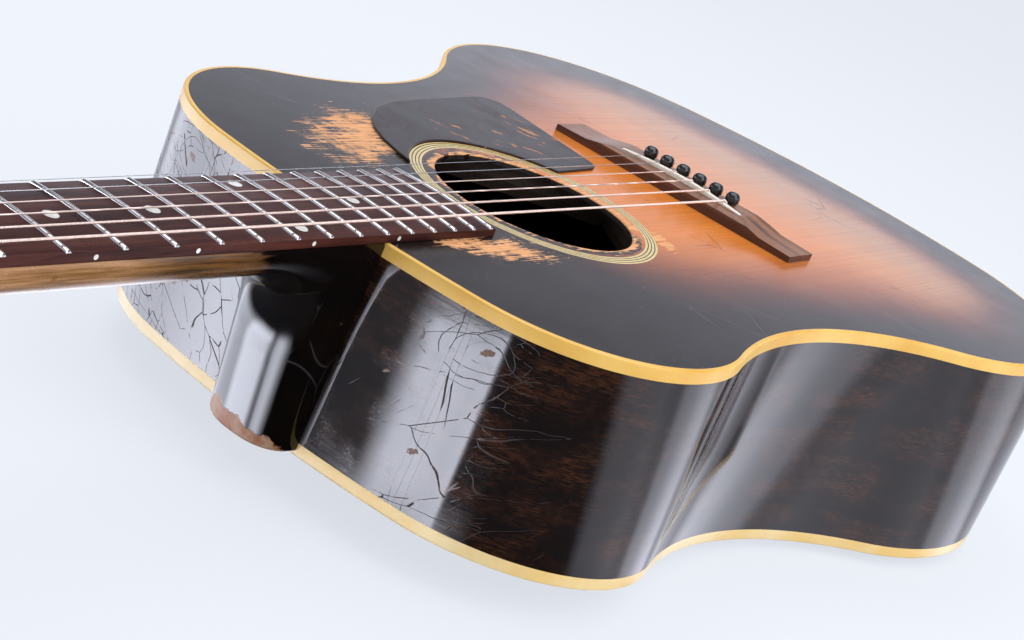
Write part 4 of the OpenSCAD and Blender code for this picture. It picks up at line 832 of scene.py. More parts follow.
# The bridge's upward faces get painted light through its worn colour.
BRIDGE = Rosewood("bridge_rosewood", "rosewood_bridge", deep=(0.030, 0.0080, 0.0022),
                  mid=(0.066, 0.0175, 0.0048), light=(0.120, 0.042, 0.0140), worn=(0.300, 0.120, 0.0480),
                  across=True, rough=0.36, crack_at=(-284.5, 41.0))
GUARD = WornGuard("worn_guard", "pickguard")
NICKEL = Metal("aged_nickel", "nickel_plate", bright=(0.66, 0.63, 0.55), rough=0.27, age=0.6)
FRET_METAL = Metal("fret_metal", "nickel_silver", bright=(0.62, 0.61, 0.60), rough=0.17, age=0.15,
                   scale=0.08)
BRASS = Metal("gear_brass", "gear_brass", bright=(0.62, 0.44, 0.18), tarnish=(0.24, 0.15, 0.06), age=0.7)
STEEL = Metal("plain_steel", "plain_string", bright=(0.78, 0.79, 0.80), rough=0.22, age=0.2)
BRONZE = Metal("bronze_wrap", "wound_string", bright=(0.90, 0.74, 0.66), tarnish=(0.62, 0.46, 0.38),
               rough=0.32, age=0.3)
BONE = Polymer("old_bone", "bone", main=(0.88, 0.84, 0.76), other=(0.78, 0.71, 0.59), rough=0.28)
PEARL = Polymer("dot_pearl", "pearl", main=(0.80, 0.80, 0.77), other=(0.62, 0.62, 0.60),
                rough=0.16, scale=0.5)
PIN_BLACK = Polymer("pin_black", "black_pin", main=(0.010, 0.010, 0.011),
                    other=(0.022, 0.020, 0.019), rough=0.14)
PALE_PLY = Polymer("pale_ply", "pale_ply", main=(0.72, 0.58, 0.27), other=(0.60, 0.46, 0.17), rough=0.24)
DARK_PLY = Polymer("dark_ply", "dark_ply", main=(0.020, 0.014, 0.011), other=(0.045, 0.028, 0.018),
                   rough=0.26)
BUTTON = Polymer("key_button", "key_button", main=(0.70, 0.60, 0.40), other=(0.55, 0.42, 0.24), rough=0.22)
# Woods inside the box, painted near black: painted shade.
SPRUCE = ShadowedWood("bare_spruce", "bare_spruce")
CEDAR = ShadowedWood("bare_cedar", "bare_cedar", pale=(0.034, 0.019, 0.0095), deep=(0.018, 0.0095, 0.0045))
MAHOGANY = ShadowedWood("bare_mahogany", "bare_mahogany", pale=(0.046, 0.021, 0.0110),
                    deep=(0.026, 0.0110, 0.0055))
MAPLE = ShadowedWood("bare_maple", "bare_maple", pale=(0.060, 0.038, 0.0210), deep=(0.036, 0.0220, 0.0115))


# Mesh building


def mesh_of(name: str, points: Sequence[Vector], faces: Sequence[Sequence[int]],
            angle: float = 35.0) -> Piece:
    """A smooth-shaded object from points and faces, sharp past an angle.

    Args:
        name: name of the piece.
        points: vertices in the frame's metres.
        faces: vertex numbers of each face.
        angle: edges sharper than this many degrees stay sharp.

    Returns:
        The object, in the scene, at the origin.
    """
    mesh = bpy.data.meshes.new(name)
    mesh.from_pydata([tuple(p) for p in points], [], [tuple(f) for f in faces])
    return settle(name, mesh, angle)


def settle(name: str, mesh: MeshData, angle: float = 35.0, turn_out: bool = True) -> Piece:
    """Cleans a mesh's normals, shades it and puts it in the scene.

    Args:
        name: name of the piece.
        mesh: its mesh.
        angle: edges sharper than this many degrees stay sharp.
        turn_out: whether its faces are turned outwards.

    Returns:
        The object, at the origin.
    """
    if turn_out:
        work = bmesh.new()
        work.from_mesh(mesh)
        bmesh.ops.recalc_face_normals(work, faces=work.faces)
        work.to_mesh(mesh)
        work.free()
    mesh.polygons.foreach_set("use_smooth", [True] * len(mesh.polygons))
    mesh.set_sharp_from_angle(angle=math.radians(angle))
    piece = bpy.data.objects.new(name, mesh)
    bpy.context.scene.collection.objects.link(piece)
    return piece


def skin(rings: Rings, closed: bool = False) -> tuple[list[Vector], list[tuple[int, ...]]]:
    """Points and faces of a skin over rings of equal length, its open ends capped.

    Args:
        rings: rows of points, each row a closed loop.
        closed: whether the last row joins the first.

    Returns:
        The points and the faces.
    """
    n = len(rings[0])
    rows = len(rings)
    faces: list[tuple[int, ...]] = []
    for i in range(rows if closed else rows - 1):
        a, b = i * n, ((i + 1) % rows) * n
        faces += [(a + k, a + (k + 1) % n, b + (k + 1) % n, b + k) for k in range(n)]
    if not closed:
        faces.append(tuple(range(n - 1, -1, -1)))
        faces.append(tuple(range((rows - 1) * n, rows * n)))
    return [p for ring in rings for p in ring], faces


def skinned(name: str, rings: Rings, angle: float = 35.0, closed: bool = False) -> Piece:
    """An object whose surface is a skin over rings."""
    return mesh_of(name, *skin(rings, closed), angle)


def tube_rings(path: Sequence[Vector], radius: float, sides: int, up: Vector) -> list[list[Vector]]:
    """Rings of a round tube along a path.

    Args:
        path: centre points.
        radius: radius of the tube.
        sides: points in each ring.
        up: a direction that the path never runs along.

    Returns:
        One ring for each point of the path.
    """
    rings = []
    for i, p in enumerate(path):
        t = (path[min(i + 1, len(path) - 1)] - path[max(i - 1, 0)]).normalized()
        u = up.cross(t).normalized()
        v = t.cross(u)
        rings.append([p + radius * (math.cos(a) * u + math.sin(a) * v)
                      for a in (2 * math.pi * k / sides for k in range(sides))])
    return rings


def revolve(profile: Sequence[Plan], sides: int) -> tuple[list[Vector], list[tuple[int, ...]]]:
    """A solid turned about Z from (radius, height) pairs, in metres, open ends capped."""
    rings = [[Vector((r * MM * math.cos(a), r * MM * math.sin(a), z * MM))
              for a in (2 * math.pi * k / sides for k in range(sides))] for r, z in profile]
    return skin(rings)


def dress(piece: Piece, finish: Finish, body: str, *nodes: str) -> Piece:
    """Gives a piece its finish and its body, and hides the CAD nodes that it stands for.

    Args:
        piece: the finished object.
        finish: its finish.
        body: the CAD body that it rides on.
        nodes: CAD nodes that it replaces.

    Returns:
        The piece.
    """
    if not piece.data.materials:
        piece.data.materials.append(finish.material())
    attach(piece, body)
    if nodes:
        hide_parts(*nodes)
    LOG.info("%s: %d faces on %s", piece.name, len(piece.data.polygons), body)
    return piece


def paint_node(node: str, finish: Finish) -> None:
    """Gives a CAD node that stays in view its finish."""
    for slot in frame["nodes"][node].material_slots:
        slot.material = finish.material()
    LOG.info("%s: CAD solid in %s", node, finish.name)


def merged(node: str, keep: Callable[[Vector], bool] | None = None) -> MeshData:
    """A copy of a CAD node's mesh with its triangles joined.

    Args:
        node: name of the CAD node.
        keep: a test of each loose shell's middle; shells that fail it are left out.

    Returns:
        The new mesh.
    """
    mesh = frame["nodes"][node].data.copy()
    mesh.materials.clear()
    work = bmesh.new()
    work.from_mesh(mesh)
    bmesh.ops.remove_doubles(work, verts=work.verts, dist=2e-6)
    if keep is not None:
        drop_shells(work, keep)
    bmesh.ops.dissolve_limit(work, angle_limit=math.radians(0.3), verts=work.verts, edges=work.edges)
    work.to_mesh(mesh)
    work.free()
    return mesh


def drop_shells(work: bmesh.types.BMesh, keep: Callable[[Vector], bool]) -> None:
    """Removes the loose shells whose middle fails a test.

    Args:
        work: mesh in the making.
        keep: the test of a shell's middle.
    """
    left = set(work.verts)
    doomed: list[bmesh.types.BMVert] = []
    while left:
        shell = [left.pop()]
        for vert in shell:
            for edge in vert.link_edges:
                other = edge.other_vert(vert)
                if other in left:
                    left.remove(other)
                    shell.append(other)
        low = Vector((min(v.co[k] for v in shell) for k in range(3)))
        high = Vector((max(v.co[k] for v in shell) for k in range(3)))
        if not keep((low + high) / 2):
            doomed += shell
    bmesh.ops.delete(work, geom=doomed, context="VERTS")


def soften(piece: Piece, width_mm: float, segments: int = 2) -> Piece:
    """Rounds a piece's sharp edges with a Bevel modifier.

    Args:
        piece: the piece.
        width_mm: width of the rounding.
        segments: steps across it.

    Returns:
        The piece.
    """
    bevel = piece.modifiers.new("soft_edges", "BEVEL")
    bevel.width = width_mm * MM
    bevel.segments = segments
    bevel.limit_method = "ANGLE"
    bevel.angle_limit = math.radians(30)
    bevel.use_clamp_overlap = True
    bevel.harden_normals = True
    return piece


def cad_copy(node: str, finish: Finish, body: str = Part.GUITAR.value, round_mm: float = 0.0,
             angle: float = 32.0) -> Piece:
    """A CAD node's own shape with smooth shading and softened edges, in its place.

    Args:
        node: name of the CAD node.
        finish: its finish.
        body: the body that it rides on.
        round_mm: width of the softened edges, or 0.
        angle: shading angle.

    Returns:
        The piece.
    """
    piece = settle(node + "_skin", merged(node), angle, turn_out=False)
    if round_mm:
        soften(piece, round_mm)
    return dress(piece, finish, body, node)


class GeoTree(Nodes):
    """A Geometry Nodes tree with named inputs, run once and made a plain mesh."""

    def __init__(self, name: str) -> None:
        """Starts an empty tree.

        Args:
            name: name of the tree.
        """
        super().__init__(bpy.data.node_groups.new(name, "GeometryNodeTree"))
        self.tree.interface.new_socket("Geometry", in_out="INPUT", socket_type="NodeSocketGeometry")
        self.tree.interface.new_socket("Geometry", in_out="OUTPUT", socket_type="NodeSocketGeometry")
        self.source = self.tree.nodes.new("NodeGroupInput")
        self.values: dict[str, Any] = {}

    def size(self, name: str, value: Any, kind: str = "NodeSocketFloat") -> Socket:
        """Adds a named input with its value and returns its socket inside the tree."""
        socket = self.tree.interface.new_socket(name, in_out="INPUT", socket_type=kind)
        self.values[socket.identifier] = value
        return next(o for o in self.source.outputs if o.identifier == socket.identifier)

    def run(self, name: str, result: Socket, material: Material,
            angle: float = 40.0) -> Piece:
        """Ends the tree, runs it and returns the result as a plain mesh object.

        Args:
            name: name of the piece.
            result: geometry to realise.
            material: material of the result.
            angle: shading angle.

        Returns:
            The piece, with no modifier left on it.
        """
        whole = self.node("GeometryNodeRealizeInstances", None, {0: result})
        dressed = self.node("GeometryNodeSetMaterial", None,
                            {"Geometry": whole.outputs[0], "Material": material})
        self.node("NodeGroupOutput", None, {0: dressed.outputs[0]})
        carrier = bpy.data.objects.new(name + "_tree", bpy.data.meshes.new(name + "_start"))
        bpy.context.scene.collection.objects.link(carrier)
        modifier = carrier.modifiers.new("tree", "NODES")
        modifier.node_group = self.tree
        for identifier, value in self.values.items():
            modifier[identifier] = value
        graph = bpy.context.evaluated_depsgraph_get()
        mesh = bpy.data.meshes.new_from_object(carrier.evaluated_get(graph))
        carrier.modifiers.clear()
        bpy.data.objects.remove(carrier)
        mesh.name = name
        return settle(name, mesh, angle)


# Sound box


@dataclass(frozen=True)
class Rim:
    """Outline of the body and the arch of its back."""

    length: float = 492.0
    upper_w: float = 294.0
    lower_w: float = 400.0
    crown_r: float = 612.0
    shoulder_r: float = 82.0
    waist_r: float = 190.0
    bout_r: float = 120.0
    tail_r: float = 445.0
    depth_neck: float = 103.0
    depth_tail: float = 121.0
    arch_r: float = 3200.0
    side_t: float = 2.2
    top_t: float = 2.8
    back_t: float = 2.6
    binding_h: float = 6.0
    steps: tuple[int, ...] = (14, 56, 40, 72, 24)

    def half(self, grow: float) -> list[Plan]:
        """Bass half of the outline from neck joint to tail, grown outwards.

        Args:
            grow: how far outwards.

        Returns:
            The plan points.
        """
        crown, tail = (-self.crown_r, 0.0), (self.tail_r - self.length, 0.0)
        sy, by = self.upper_w / 2 - self.shoulder_r, self.lower_w / 2 - self.bout_r
        shoulder = (crown[0] + math.sqrt((self.crown_r - self.shoulder_r) ** 2 - sy ** 2), sy)
        bout = (tail[0] - math.sqrt((self.tail_r - self.bout_r) ** 2 - by ** 2), by)
        span = math.dist(shoulder, bout)
        ex, ey = (bout[0] - shoulder[0]) / span, (bout[1] - shoulder[1]) / span
        ra, rb = self.shoulder_r + self.waist_r, self.bout_r + self.waist_r
        along = (ra ** 2 - rb ** 2 + span ** 2) / (2 * span)
        off = math.sqrt(ra ** 2 - along ** 2)
        waist = (shoulder[0] + along * ex + off * ey, shoulder[1] + along * ey - off * ex)
        a1, a2 = bearing(crown, shoulder), bearing(shoulder, waist)
        a3, a4 = bearing(bout, waist), bearing(tail, bout)
        arcs = [(crown, self.crown_r + grow, 0.0, a1), (shoulder, self.shoulder_r + grow, a1, a2),
                (waist, self.waist_r - grow, a2 + math.pi, a3 + math.pi),
                (bout, self.bout_r + grow, a3, a4), (tail, self.tail_r + grow, a4, math.pi)]
        points = [(grow, 0.0)]
        for (c, r, s, e), n in zip(arcs, self.steps):
            points += [(c[0] + r * math.cos(blend(s, e, k / n)), c[1] + r * math.sin(blend(s, e, k / n)))
                       for k in range(1, n + 1)]
        return points

    def loop(self, grow: float) -> list[Plan]:
        """The whole outline, grown outwards."""
        half = self.half(grow)
        return half + [(x, -y) for x, y in half[-2:0:-1]]

    def back_z(self, x: float, y: float, inset: float = 0.0) -> float:
        """Height of the back's outer surface, moved in by inset.

        Args:
            x: distance along the strings.
            y: distance across them.
            inset: how far in.

        Returns:
            The height.
        """
        chord = math.hypot(self.length, self.depth_tail - self.depth_neck)
        lift = math.sqrt(self.arch_r ** 2 - (chord / 2) ** 2)
        cx = -self.length / 2 - lift * (self.depth_tail - self.depth_neck) / chord
        cz = -(self.depth_neck + self.depth_tail) / 2 + lift * self.length / chord
        return cz - math.sqrt((self.arch_r - inset) ** 2 - (x - cx) ** 2 - y ** 2)


def bearing(start: Plan, end: Plan) -> float:
    """Plan angle from one point to another."""
    return math.atan2(end[1] - start[1], end[0] - start[0])


@dataclass(frozen=True)
class SoundBox:
    """Top, sides, back, bindings and what is inside."""

    rim: Rim = Rim()
    hole: Plan = (-146.0, 0.0)
    hole_r: float = 50.0
    groove: Plan = (56.5, 62.75)
    groove_depth: float = 1.2
    round_r: float = 0.9
    lip_r: Plan = (52.5, 54.5)
    lip_round: float = 0.5
    mortise_half: float = 8.7
    top_rings: int = 30
    back_rings: int = 16
    side_levels: int = 14
    corner_steps: int = 5

    def build(self) -> None:
        """Makes and dresses every piece of the box."""
        self.top()
        self.binding("top_binding_skin", "top_binding", BINDING, lambda x, y, h: -h)
        self.binding("back_binding_skin", "back_binding", BACK_BINDING,
                     lambda x, y, h: self.rim.back_z(x, y) + h)
        for sign, node in ((1, "bass_side"), (-1, "treble_side")):
            self.side(node, sign)
        self.back()
        # Linings, braces, blocks and the bridge plate are painted near black: painted shade inside the box.
        for node in ("top_lining", "back_lining"):
            paint_node(node, CEDAR)
        for node in ("cross_brace_bass", "cross_brace_treble", "top_braces", "back_braces", "back_strip"):
            paint_node(node, SPRUCE)
        for node in ("neck_block", "tail_block", "truss_filler"):
            paint_node(node, MAHOGANY)
        paint_node("bridge_plate", MAPLE)
        cad_copy("rosette_pale", PALE_PLY)
        cad_copy("rosette_dark", DARK_PLY)
        cad_copy("end_pin", PIN_BLACK)

    def top(self) -> None:
        """The soundboard, in rings from the soundhole to the rim, with its distance from the rim stored."""
        edge = self.rim.loop(-self.rim.side_t)
        angles = [bearing(self.hole, p) for p in edge]
        plan: list[tuple[list[Plan], float]] = []
        low = -self.rim.top_t
        floor = -self.groove_depth
        for r, z in ((self.hole_r, low), (self.hole_r, -self.lip_round), (self.hole_r + self.lip_round, 0.0),
                     (self.lip_r[0], 0.0), (self.lip_r[1], 0.0), (self.groove[0], 0.0),
                     (self.groove[0], floor), (self.groove[1], floor), (self.groove[1], 0.0)):
            circle = [(self.hole[0] + r * math.cos(a), self.hole[1] + r * math.sin(a)) for a in angles]
            plan.append((circle, z))
        start = plan[-1][0]
        for k in range(1, self.top_rings + 1):
            t = k / self.top_rings
            plan.append(([(blend(a[0], b[0], t), blend(a[1], b[1], t)) for a, b in zip(start, edge)], 0.0))
        plan.append((edge, low))
        rings = [[place(x, y, z) for x, y in row] for row, z in plan]
        piece = skinned("top_plate", rings, closed=True)
        flat = np.array([p for row, _ in plan for p in row])
        store(piece, "edge", rim_distance(flat, np.array(self.rim.loop(0.0))))
        dress(piece, TOP, Part.GUITAR.value, "soundboard")

    def binding(self, name: str, node: str, finish: Finish,
                height: Callable[[float, float, float], float]) -> None:
        """A binding strip with a rounded outer corner.

        Args:
            name: name of the piece.
            node: CAD node that it stands for.
            finish: its finish.
            height: gives z from the plan point and the distance from the plate's face.
        """
        r, t = self.round_r, self.rim.side_t
        section = [(-t, 0.0)]
        for k in range(self.corner_steps + 1):
            a = math.pi / 2 * k / self.corner_steps
            section.append((-r + r * math.sin(a), r - r * math.cos(a)))
        section += [(0.0, self.rim.binding_h), (-t, self.rim.binding_h)]
        loops = [(self.rim.loop(o), h) for o, h in section]
        rows = [[place(loop[i][0], loop[i][1], height(loop[i][0], loop[i][1], h)) for loop, h in loops]
                for i in range(len(loops[0][0]))]
        dress(skinned(name, rows, closed=True), finish, Part.GUITAR.value, node)

    def side(self, node: str, sign: int) -> None:
        """One bent side with a UV map that runs along it.

        Args:
            node: CAD node that it stands for.
            sign: 1 for the bass side, -1 for the treble side.
        """
        outer, inner = self.rim.half(0.0), self.rim.half(-self.rim.side_t)
        pairs = [(o, i) for o, i in zip(outer, inner)
                 if o[1] > self.mortise_half or o[0] < -self.rim.length / 2]
        levels = self.side_levels
        rows: list[list[Vector]] = []
        travel: list[float] = []
        run = 0.0
        high = -self.rim.binding_h
        for k, (o, i) in enumerate(pairs):
            run += math.dist(o, pairs[k - 1][0]) if k else 0.0
            low_o = self.rim.back_z(o[0], o[1], self.rim.binding_h)
            low_i = self.rim.back_z(i[0], i[1], self.rim.binding_h)
            face = [place(o[0], sign * o[1], blend(high, low_o, j / levels)) for j in range(levels + 1)]
            rows.append(face + [place(i[0], sign * i[1], low_i), place(i[0], sign * i[1], high)])
            travel.append(run)
        piece = skinned(node + "_skin", rows)
        wide = len(rows[0])
        layer = piece.data.uv_layers.new(name="along")
        for loop in piece.data.loops:
            layer.data[loop.index].uv = (travel[loop.vertex_index // wide] * MM,
                                         piece.data.vertices[loop.vertex_index].co.z - TOP_Z)
        dress(piece, SIDES, Part.GUITAR.value, node)

    def back(self) -> None:
        """The arched back as one plate."""
        edge = self.rim.loop(-self.rim.side_t)
        middle = (-self.rim.length / 2, 0.0)
        shares = [k / self.back_rings for k in range(self.back_rings, 0, -1)]
        rows = []
        for inset, order in ((0.0, shares[::-1]), (self.rim.back_t, shares)):
            for f in order:
                plan = [(blend(middle[0], x, f), y * f) for x, y in edge]
                rows.append([place(x, y, self.rim.back_z(x, y, inset)) for x, y in plan])
        dress(skinned("back_plate", rows), BACK, Part.GUITAR.value, "back")


def rim_distance(points: np.ndarray, loop: np.ndarray) -> np.ndarray:
    """Distance in millimetres of plan points from a closed outline.

    Args:
        points: the plan points.
        loop: corners of the outline.

    Returns:
        One distance for each point.
    """
    a, b = loop, np.roll(loop, -1, axis=0)
    d = b - a
    size = (d ** 2).sum(1)
    out = np.empty(len(points))
    for i in range(0, len(points), BATCH):
        p = points[i:i + BATCH, None, :] - a[None]
        t = np.clip((p * d).sum(2) / size, 0.0, 1.0)
        out[i:i + BATCH] = np.sqrt(((p - t[..., None] * d) ** 2).sum(2)).min(1)
    return out


def store(piece: Piece, name: str, values: np.ndarray) -> None:
    """Stores one number for each vertex of a piece."""
    layer = piece.data.attributes.new(name, "FLOAT", "POINT")
    layer.data.foreach_set("value", values.astype(np.float32))


# Trim on the top


@dataclass(frozen=True)
class TopTrim:
    """Pickguard, bridge, saddle and pins."""

    pin_head_r: float = 3.9
    pin_x: float = -291.8
    pin_z: float = 7.5
    pin_sides: int = 32
    spread: float = 55.0
    guard_round: float = 0.55

    def build(self) -> None:
        """Makes and dresses the trim."""
        soften(cad_copy("pickguard", GUARD, angle=25.0), self.guard_round, 4)
        cad_copy("bridge", BRIDGE, round_mm=0.7)
        cad_copy("saddle", BONE, round_mm=0.6)
        self.pins()

    def pins(self) -> None:
        """Six turned pins, set out by a Geometry Nodes tree."""
        r = self.pin_head_r
        profile = [(0.05, -22.0), (2.1, -21.8), (2.58, 0.0), (3.0, 0.05), (3.15, 0.3), (3.15, 0.8)]
        profile += [(r - 0.75 + 0.75 * math.sin(a), 1.9 - 0.9 * math.cos(a))
                    for a in (math.radians(15 * k) for k in range(7))]
        profile += [(r * math.cos(a) ** 0.7, 3.4 + 3.1 * math.sin(a))
                    for a in (math.radians(90 * k / 14) for k in range(14))]
        profile.append((0.05, 6.5))
        pattern = mesh_of("pin_pattern", *revolve(profile, self.pin_sides))
        tree = GeoTree("pin_row")
        count = tree.size("Count", STRINGS, "NodeSocketInt")
        spread = tree.size("Spread", self.spread * MM)
        start = tree.size("Start", place(self.pin_x, -self.spread / 2, self.pin_z), "NodeSocketVector")
        shape = tree.size("Pin", pattern, "NodeSocketObject")
        step = tree.math("DIVIDE", spread, tree.math("SUBTRACT", count, 1.0))
        offset = tree.join(0.0, step, 0.0)
        row = tree.node("GeometryNodeMeshLine", None,
                        {"Count": count, "Start Location": start, "Offset": offset})
        pin = tree.node("GeometryNodeObjectInfo", None, {"Object": shape})
        spots = tree.node("GeometryNodeInstanceOnPoints", None,
                          {"Points": row.outputs[0], "Instance": pin.outputs["Geometry"]})
        piece = tree.run("bridge_pin_row", spots.outputs[0], PIN_BLACK.material())
        bpy.data.objects.remove(pattern)
        dress(piece, PIN_BLACK, Part.GUITAR.value, "bridge_pins")


# Neck


@dataclass(frozen=True)
class NeckSizes:
    """Sizes of the neck, the board and the headstock."""

    scale: float = 628.65
    joint_fret: int = 14
    frets: int = 19
    nut_w: float = 43.0
    twelfth_w: float = 54.5
    board_t: float = 5.0
    board_r: float = 305.0
    nut_t: float = 5.0
    nut_lead: float = 0.4
    depth_nut: float = 16.5
    depth_heel: float = 19.0
    heel_curve_r: float = 40.0
    heel_len: float = 22.0
    heel_end_len: float = 18.5
    heel_end_w: float = 45.0
    heel_end_z: float = -101.5
    head_tilt: float = 16.0
    head_len: float = 178.0
    head_w: float = 72.0
    head_t: float = 14.0
    veneer_t: float = 1.4
    volute: float = 40.0
    flare: float = 46.0

    @property
    def nut_x(self) -> float:
        """Front of the nut."""
        return self.scale * (1 - 2 ** (-self.joint_fret / OCTAVE))

    @property
    def nut_back(self) -> float:
        """Back of the nut, where the headstock starts."""
        return self.nut_x + self.nut_t

    def fret_x(self, n: int) -> float:
        """Place of a fret along the neck."""
        return self.nut_x - self.scale * (1 - 2 ** (-n / OCTAVE))

    @property
    def widening(self) -> float:
        """Growth of the board's half width for each millimetre from the nut."""
        return (self.twelfth_w - self.nut_w) / 2 / (self.nut_x - self.fret_x(OCTAVE))

    def board_half(self, x: float) -> float:
        """Half width of the fretboard."""
        return self.nut_w / 2 + (self.nut_x - x) * self.widening

    def on_head(self, s: float, y: float, z: float) -> Vector:
        """A point of the headstock's own frame."""
        c, d = math.cos(math.radians(self.head_tilt)), math.sin(math.radians(self.head_tilt))
        return place(self.nut_back + s * c + z * d, y, -s * d + z * c)

    def to_head(self, p: Point) -> Point:
        """A point of the guitar in the headstock's own frame."""
        c, d = math.cos(math.radians(self.head_tilt)), math.sin(math.radians(self.head_tilt))
        x = p[0] - self.nut_back
        return (x * c - p[2] * d, p[1], x * d + p[2] * c)


@dataclass(frozen=True)
class Neck:
    """Neck with heel, headstock, board, frets and nut."""

    size: NeckSizes = NeckSizes()
    sides: int = 56
    fret_h: float = 1.0
    fret_w: float = 2.4
    end_round: float = 2.2
    flank: float = 0.8
    belly: float = 0.9
    board_drop: float = 0.03
    board_round: float = 0.3
    board_steps: tuple[int, int] = (60, 16)
    volute_rings: int = 20
    volute_belly: float = 3.0
    shaft_rings: int = 15
    heel_rings: int = 48
    foot_rings: int = 12
    end_rings: int = 6
    throat: float = 6.0
    tip_len: float = 12.0
    tip_inset: Plan = (2.5, 6.0)
    tip_bow: float = 8.0
    post_hole_r: float = 3.3
    bush_hole_r: float = 4.65
    bush_hole_z: float = -6.0
    pocket: Plan = (0.4, 30.4)
    pocket_half: float = 6.5
    pocket_z: Plan = (-14.0, 4.0)
    head_round: float = 0.9
    fret_half: float = 25.0
    fret_foot: float = 0.3

    def build(self) -> None:
        """Makes and dresses the neck's pieces."""
        self.shaft()
        self.headstock()
        cad_copy("head_veneer", FACE, round_mm=0.35)
        self.board()
        cad_copy("position_dots", PEARL)
        cad_copy("nut", BONE, round_mm=0.25)
        cad_copy("truss_cover", PIN_BLACK, round_mm=0.5)
        self.frets()
        cad_copy("truss_rod", STEEL)
        cad_copy("truss_nut", BRASS, Part.TRUSS.value, round_mm=0.3)

    def ring(self, top: Point, depth: Point, half: float) -> list[Vector]:
        """A D-shaped section.

        Args:
            top: middle of its flat edge.
            depth: vector from there to the middle of its round side.
            half: half width of the flat edge.

        Returns:
            The points of the section.
        """
        out = []
        for k in range(self.sides + 1):
            a = math.pi * k / self.sides
            c, d = math.cos(a), max(math.sin(a), 0.0) ** self.belly
            y = half * math.copysign(abs(c) ** self.flank, c)
            out.append(place(top[0] + depth[0] * d, top[1] + y, top[2] + depth[2] * d))
        return out

    def shaft(self) -> None:
        """Volute, shaft and heel as one smooth skin."""
        z = self.size
        tilt = math.tan(math.radians(z.head_tilt))
        heel_x, heel_z = z.heel_len + z.heel_curve_r, -(z.depth_heel + z.heel_curve_r)
        corner = math.atan2(heel_x, -heel_z)
        last = math.pi / 2 - math.atan2(z.heel_len - z.heel_end_len, heel_z - z.heel_end_z)
        rings = []
        for k in range(self.volute_rings, 0, -1):
            t = k / self.volute_rings
            e = z.volute * t
            high = -e * tilt - 1
            belly = self.volute_belly * math.sin(math.pi * t) * (1 - t)
            low = blend(-z.depth_nut, -z.volute * tilt - z.head_t + 1, t) - belly
            rings.append(self.ring((z.nut_back + e, 0, high), (0, 0, low - high),
                                   blend(z.nut_w / 2, z.nut_w / 3, t)))
        for k in range(self.shaft_rings + 1):
            x = blend(z.nut_back - 0.5, heel_x, k / self.shaft_rings)
            depth = z.depth_nut + (z.depth_heel - z.depth_nut) * (z.nut_x - x) / (z.nut_x - heel_x)
            rings.append(self.ring((x, 0, 0), (0, 0, -depth), z.board_half(x)))
        for k in range(1, self.heel_rings + 1):
            a = last * k / self.heel_rings
            reach = -heel_z / math.cos(a) if a <= corner else (heel_x + 1) / math.sin(a)
            top = (heel_x - reach * math.sin(a), 0.0, heel_z + reach * math.cos(a))
            half = z.board_half(top[0]) if a <= corner else self.heel_half(top[2])
            deep = z.heel_curve_r - reach
            rings.append(self.ring(top, (-deep * math.sin(a), 0, deep * math.cos(a)), half))
        start = heel_z + z.heel_curve_r * math.cos(last)
        for k in range(1, self.foot_rings + 1):
            level = blend(start, z.heel_end_z + self.end_round, k / self.foot_rings)
            rings.append(self.foot(level, heel_z, 0.0))
        for k in range(1, self.end_rings + 1):
            a = math.pi / 2 * k / self.end_rings
            level = z.heel_end_z + self.end_round * (1 - math.sin(a))
            rings.append(self.foot(level, heel_z, self.end_round * (1 - math.cos(a))))
        dress(skinned("neck_shaft", rings, 50.0), NECK, Part.GUITAR.value, "neck")

    def heel_half(self, level: float) -> float:
        """Half width of the heel at a level."""
        return blend(self.size.board_half(0), self.size.heel_end_w / 2, level / self.size.heel_end_z)

    def foot(self, level: float, heel_z: float, shrink: float) -> list[Vector]:
        """A level section of the heel below its hollow."""
        z = self.size
        length = blend(z.heel_len, z.heel_end_len, (level - heel_z) / (z.heel_end_z - heel_z))
        return self.ring((-1, 0, level), (1 + length - shrink, 0, 0), self.heel_half(level) - shrink)

    def board(self) -> None:
        """The arched fretboard, a hair below the inlays so that they show."""
        z = self.size
        low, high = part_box("fretboard")
        rings = []
        along, across = self.board_steps
        for k in range(along + 1):
            x = blend((low.x - JOINT_X) / MM, (high.x - JOINT_X) / MM, k / along)
            half = z.board_half(x) - self.board_drop
            face = [blend(-half, half, j / across) for j in range(across + 1)]
            top = [place(x, y, z.board_t - self.board_drop - y * y / (2 * z.board_r)) for y in face]
            rings.append([place(x, half, 0.0), place(x, -half, 0.0)] + top)
        piece = soften(skinned("fretboard_skin", rings, 30.0), self.board_round)
        dress(piece, BOARD, Part.GUITAR.value, "fretboard")

    def head_plan(self) -> list[Plan]:
        """Outline of the headstock in its own frame."""
        z = self.size
        half = [(0.0, z.nut_w / 2)]
        for k in range(1, 25):
            t = k / 24
            ease = (1 - math.cos(math.pi * t)) / 2
            half.append((self.throat + (z.flare - self.throat) * t, blend(z.nut_w / 2, z.head_w / 2, ease)))
        half.append((z.head_len - self.tip_len, z.head_w / 2 - self.tip_inset[0]))
        half += [(z.head_len - self.tip_bow * t * t, (z.head_w / 2 - self.tip_inset[1]) * t)
                 for t in (1 - k / 12 for k in range(13))]
        return half + [(s, -y) for s, y in half[-2::-1]]

